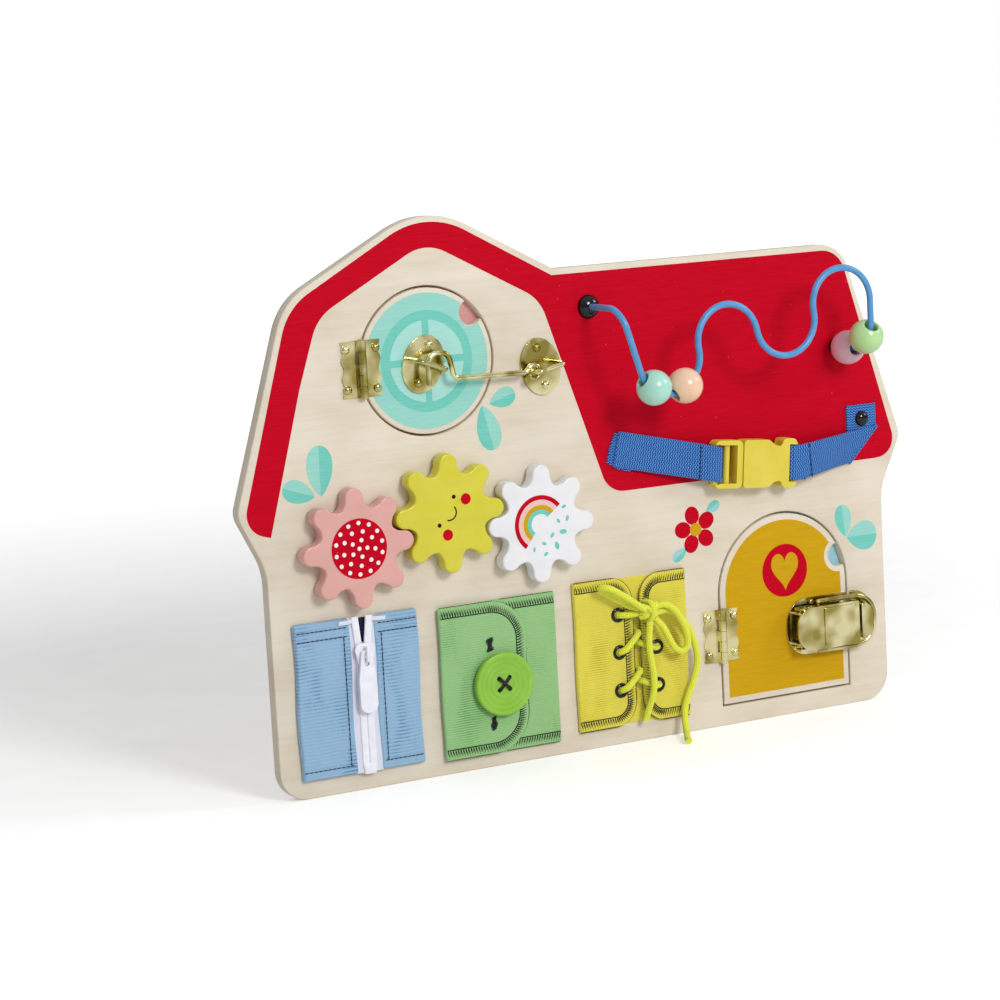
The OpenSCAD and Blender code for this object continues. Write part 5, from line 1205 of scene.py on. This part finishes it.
# linings that show in the open zip, and between the flaps: each 2 mm in from its panel's sides, and
# 1 mm from its top and foot
for name, x0, x1, z0, z1, material, slot in (
        ("blue_panel_lining", BLUE_X0, BLUE_X1, ZIP_Z0, ZIP_Z1, NAVY_COTTON, "cloth_blue"),
        ("green_panel_lining", GREEN_X0, GREEN_X1, GREEN_Z0, GREEN_Z1, GREEN_COTTON, "cloth_green"),
        ("yellow_panel_lining", YELLOW_X0, YELLOW_X1, YELLOW_Z0, YELLOW_Z1, YELLOW_COTTON, "cloth_yellow")):
    outline = rounded([[x, z, 1] for x, z in (
        (x0 + 2, z0 + 1), (x1 - 2, z0 + 1), (x1 - 2, z1 - 1), (x0 + 2, z1 - 1))])
    slab(name, outline, 0.0, LINING_Y, material, "board", edge=0.2, stands_for=["cloth_backs"], slot=slot)

# thread of the button: a doubled cross, one way over the other, and the shank behind it
cross = []
for s, camera_glow in ((-1, 0.9), (1, 0.0)):
    way = np.array([1.0, 0.0, s]) / np.sqrt(2)
    side = np.array([-s, 0.0, 1.0]) / np.sqrt(2)
    y = -7.75 - camera_glow
    # along the thread: its place from the button's middle, share of its offset, and depth
    rows = [(4.5, 1, -4.8), (4.4, 1, y + 0.5), (3.2, 1, y), (0, 0.6, y - 0.2), (-3.2, 1, y),
            (-4.4, 1, y + 0.5), (-4.5, 1, -4.8)]
    for off in (-0.55, 0.55):
        line = [BUTTON + out * way + off * side * share + (0, depth, 0) for out, share, depth in rows]
        cross.append(carried(smooth_line(line, 0.5), circle(0.5, 8), up=(0.2, 0.1, 1.0)))
shank_line = [BUTTON + (0, depth, 0) for depth in (-2.2, -3.4, -4.6)]
shank = carried(shank_line, circle(2.0, 20), up=(0, 0, 1))
points, faces, lengths = joined(cross + [shank])
piece("button_stitching", points, faces, BLACK_THREAD, "big_button", lengths=lengths,
      stands_for=["button_thread"], slot="thread")


# ---- strap ----

HALF_WEBBING, WEBBING_THICK = 10, 1.4  # half the webbing's width, and its thickness


def across(degrees):
    """The direction across a strap that runs at this angle, in the plane of the board."""
    return np.array([-np.sin(np.radians(degrees)), 0.0, np.cos(np.radians(degrees))])


def metres_of(points):
    """The length map of flat webbing: each point's height and place along the board, in metres."""
    return points[:, [2, 0]] * 0.001


def webbing(name, middle, half, body, **glow_by_distance):
    """A webbing ribbon: its middle line, and the way from it to its edge at each point.
    Returns the piece, its length in metres, and the finer middle line it was made on."""
    both = smooth_line(np.hstack([middle, half]), 1.0)
    middle, half = both[:, :3], both[:, 3:]
    way = np.gradient(middle, axis=0)
    rise = np.cross(half, way)
    rise /= np.linalg.norm(rise, axis=1)[:, None]
    section = tape_section(2.0, WEBBING_THICK, 32)
    points = middle[:, None] + section[:, 0, None] * half[:, None] + section[:, 1, None] * rise[:, None]
    count = len(section)
    faces = quads(len(middle), count) + [list(range(count))[::-1],
                                         list(range((len(middle) - 1) * count, len(middle) * count))]
    along = np.concatenate([[0], np.cumsum(np.linalg.norm(np.diff(middle, axis=0), axis=1))]) * 0.001
    from_middle = section[:, 0] * (HALF_WEBBING * 0.001)
    lengths = np.stack([np.repeat(along, count), np.tile(from_middle, len(middle))], 1)
    obj = piece(name, points.reshape(-1, 3), faces, BLUE_WEBBING, body, lengths=lengths, slot="webbing",
                **glow_by_distance)
    return obj, round(float(along[-1]), 4), middle


def seam_across(name, middle, tilt, at_x, body):
    """A navy seam over the front of a strap, where its middle line first passes at_x. tilt is the
    angle of the strap that the seam runs square across."""
    i = int(np.flatnonzero(np.diff(np.sign(middle[:, 0] - at_x)))[0])
    reach = HALF_WEBBING - 0.2
    ends = middle[i] + np.array([-reach, reach])[:, None] * across(tilt) + (0, -0.85, 0)
    points, faces = running_stitch(ends, radius=0.45)
    piece(name, points, faces, NAVY_THREAD, body, smooth=False)


# the left strap: from its rivet to the slot of the plug, round its bar and back behind itself
LEFT_START = np.array([17.0, 0.0, 165.6])
LEFT_TILT, BUCKLE_TILT = -13.3, -5.0
INTO_BOARD = np.array([[0.0, 1.0, 0.0]])
left_way = towards(LEFT_TILT)
# [along the strap, depth]
left_rows = np.array([
    [0, -1.9], [8, -1.95], [16, -2.25], [24, -2.9], [32, -3.9], [40, -5.3], [47, -6.9], [52, -8.1],
    [56, -9.1], [59, -9.75], [61.5, -9.9], [63.6, -9.7], [64.9, -8.9], [65.4, -7.7], [65.4, -6.7],
    [64.9, -5.5], [63.6, -4.7], [61.5, -4.5], [59, -4.6], [56.5, -5.2], [54.5, -6], [52.5, -6.6],
    [50.5, -6.2]])
middle = LEFT_START + left_rows[:, :1] * left_way + left_rows[:, 1:] * INTO_BOARD
tilt = LEFT_TILT + (BUCKLE_TILT - LEFT_TILT) * np.minimum(1, left_rows[:, 0] / 59.5)
half = HALF_WEBBING * np.stack([across(a) for a in tilt])
left_strap, left_length, middle = webbing("webbing_left", middle, half, None)
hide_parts("strap_left")
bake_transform(left_strap)
seam_across("webbing_left_seam", middle, -6.0, LEFT_START[0] + 51.5 * left_way[0], "buckle_plug")
# its cut end, folded under askew
ends = np.array([[-1.6, 8.6], [-3.4, 1.0], [-3.8, -8.0], [4.0, -10.9], [12.0, -11.2], [15.0, 8.0]])
ends = LEFT_START[[0, 2]] + ends[:, :1] * left_way[[0, 2]] + ends[:, 1:] * across(LEFT_TILT)[[0, 2]]
slab("webbing_left_turned_end", ends, -0.1, -1.2, BLUE_WEBBING, "board", edge=0.4, slot="webbing",
     lengths=metres_of)

# the right strap: a strip down from its rivet, a rolled diagonal fold, and the run to the socket's bar.
# STRIP's first two corners are the ends of the fold
STRIP = np.array([[171.0, 141.0], [191.0, 161.0], [191.0, 173.8], [171.0, 173.8]])
strip = slab("webbing_right_strip", STRIP, 0.0, -WEBBING_THICK, BLUE_WEBBING, "board", edge=0.4,
             slot="webbing", lengths=metres_of)
fold_low, fold_high = on_plane(STRIP[:2], -WEBBING_THICK)
points, faces, lengths = carried(np.linspace(fold_low, fold_high, 12), circle(WEBBING_THICK, 16))
roll = piece("webbing_right_fold", points, faces, BLUE_WEBBING, "board", lengths=lengths[:, ::-1],
             slot="webbing")
buckle_way = towards(BUCKLE_TILT)
BUCKLE = np.array([101.0, 0.0, 149.0])
t = np.linspace(0, 1, 10)[:, None]
half_at_bar = HALF_WEBBING * across(BUCKLE_TILT)
meets = BUCKLE + 30 * buckle_way
fold_low, fold_high = on_plane(STRIP[:2], 0.0)
low = (1 - t) * fold_low + t * (meets - half_at_bar)
high = (1 - t) * fold_high + t * (meets + half_at_bar)
depth = -2.1 - 7.8 * (1 - np.cos(np.pi * t)) / 2
# round the bar, [along the buckle, depth]
bar_turn = np.array([[28.4, -9.9], [26.3, -9.8], [25, -9.15], [24.4, -7.9], [24.4, -6.5], [25, -5.2],
                     [26.3, -4.6], [28.4, -4.45], [30.6, -5.2], [32.6, -6.5], [34.6, -7.75], [36.6, -8]])
middle = np.vstack([(low + high) / 2 + depth * INTO_BOARD,
                    BUCKLE + bar_turn[:, :1] * buckle_way + bar_turn[:, 1:] * INTO_BOARD])
half = np.vstack([(high - low) / 2, np.tile(half_at_bar, (len(bar_turn), 1))])
right_strap, right_length, middle = webbing("webbing_right_run", middle, half, "board",
                                            stands_for=["strap_right"])
seam_across("webbing_right_seam", middle, 4.0, 138.5, "board")


# ---- floor and surroundings ----

def floor_finish():
    """Matt white table: it takes the shadow, and glows to the camera only, which is painted light that lifts
    it to the white around it; the glow is weakest near a point behind the board, which is painted shade that
    deepens the board's shadow.
    """
    material, tree, shader = finish("white table, matt", 0.9, Specular_IOR_Level=0.1)
    two_tone(tree, shader, noise(tree, 30, 2.0), "EDEDED", "F1F1F1", 0.3, 0.7)
    path = add(tree, "ShaderNodeLightPath")
    place = add(tree, "ShaderNodeTexCoord")
    # painted shade: the glow is weakest 0.15 m or less from a point 0.4 m behind the board, and grows out to
    # 1.5 m
    from_board = add(tree, "ShaderNodeVectorMath", {0: place.outputs["Object"], 1: (0.0, 0.4, 0.0)},
                     operation="DISTANCE")
    glow_by_distance = add(tree, "ShaderNodeMapRange", {"Value": from_board.outputs["Value"], 1: 0.15, 2: 1.5,
                                            3: 0.2, 4: 0.85})
    # painted light: the glow is seen by the camera only
    camera_glow = add(tree, "ShaderNodeMath", {0: path.outputs["Is Camera Ray"], 1: glow_by_distance.outputs[0]},
               operation="MULTIPLY")
    glow = add(tree, "ShaderNodeEmission", {"Strength": camera_glow.outputs[0]})
    both = add(tree, "ShaderNodeAddShader", {0: shader.outputs[0], 1: glow.outputs[0]})
    tree.links.new(both.outputs[0], tree.nodes["Material Output"].inputs["Surface"])
    return material


floor_mesh = bpy.data.meshes.new("table_top")
floor_mesh.from_pydata([(-6, -6, 0), (6, -6, 0), (6, 6, 0), (-6, 6, 0)], [], [(0, 1, 2, 3)])
floor_mesh.materials.append(floor_finish())
table_top = bpy.data.objects.new("table_top", floor_mesh)
scene.collection.objects.link(table_top)

world = bpy.data.worlds.new("white studio")
scene.world = world
world.use_nodes = True
tree = world.node_tree
tree.nodes.clear()
path = add(tree, "ShaderNodeLightPath")
# white to the camera; as a light it is a studio that grows from dim at the horizon to bright overhead
way = add(tree, "ShaderNodeSeparateXYZ", {0: add(tree, "ShaderNodeTexCoord").outputs["Generated"]})
room = add(tree, "ShaderNodeMapRange", {"Value": way.outputs["Z"], 1: 0.0, 2: 0.9, 3: 0.22, 4: 0.62})
strength = add(tree, "ShaderNodeMapRange", {"Value": path.outputs["Is Camera Ray"],
                                            3: room.outputs[0], 4: 1.0})
sky = add(tree, "ShaderNodeBackground", {"Color": (1.0, 1.0, 1.0, 1.0), "Strength": strength.outputs[0]})
add(tree, "ShaderNodeOutputWorld", {"Surface": sky.outputs[0]})

scene.view_settings.view_transform = "Standard"
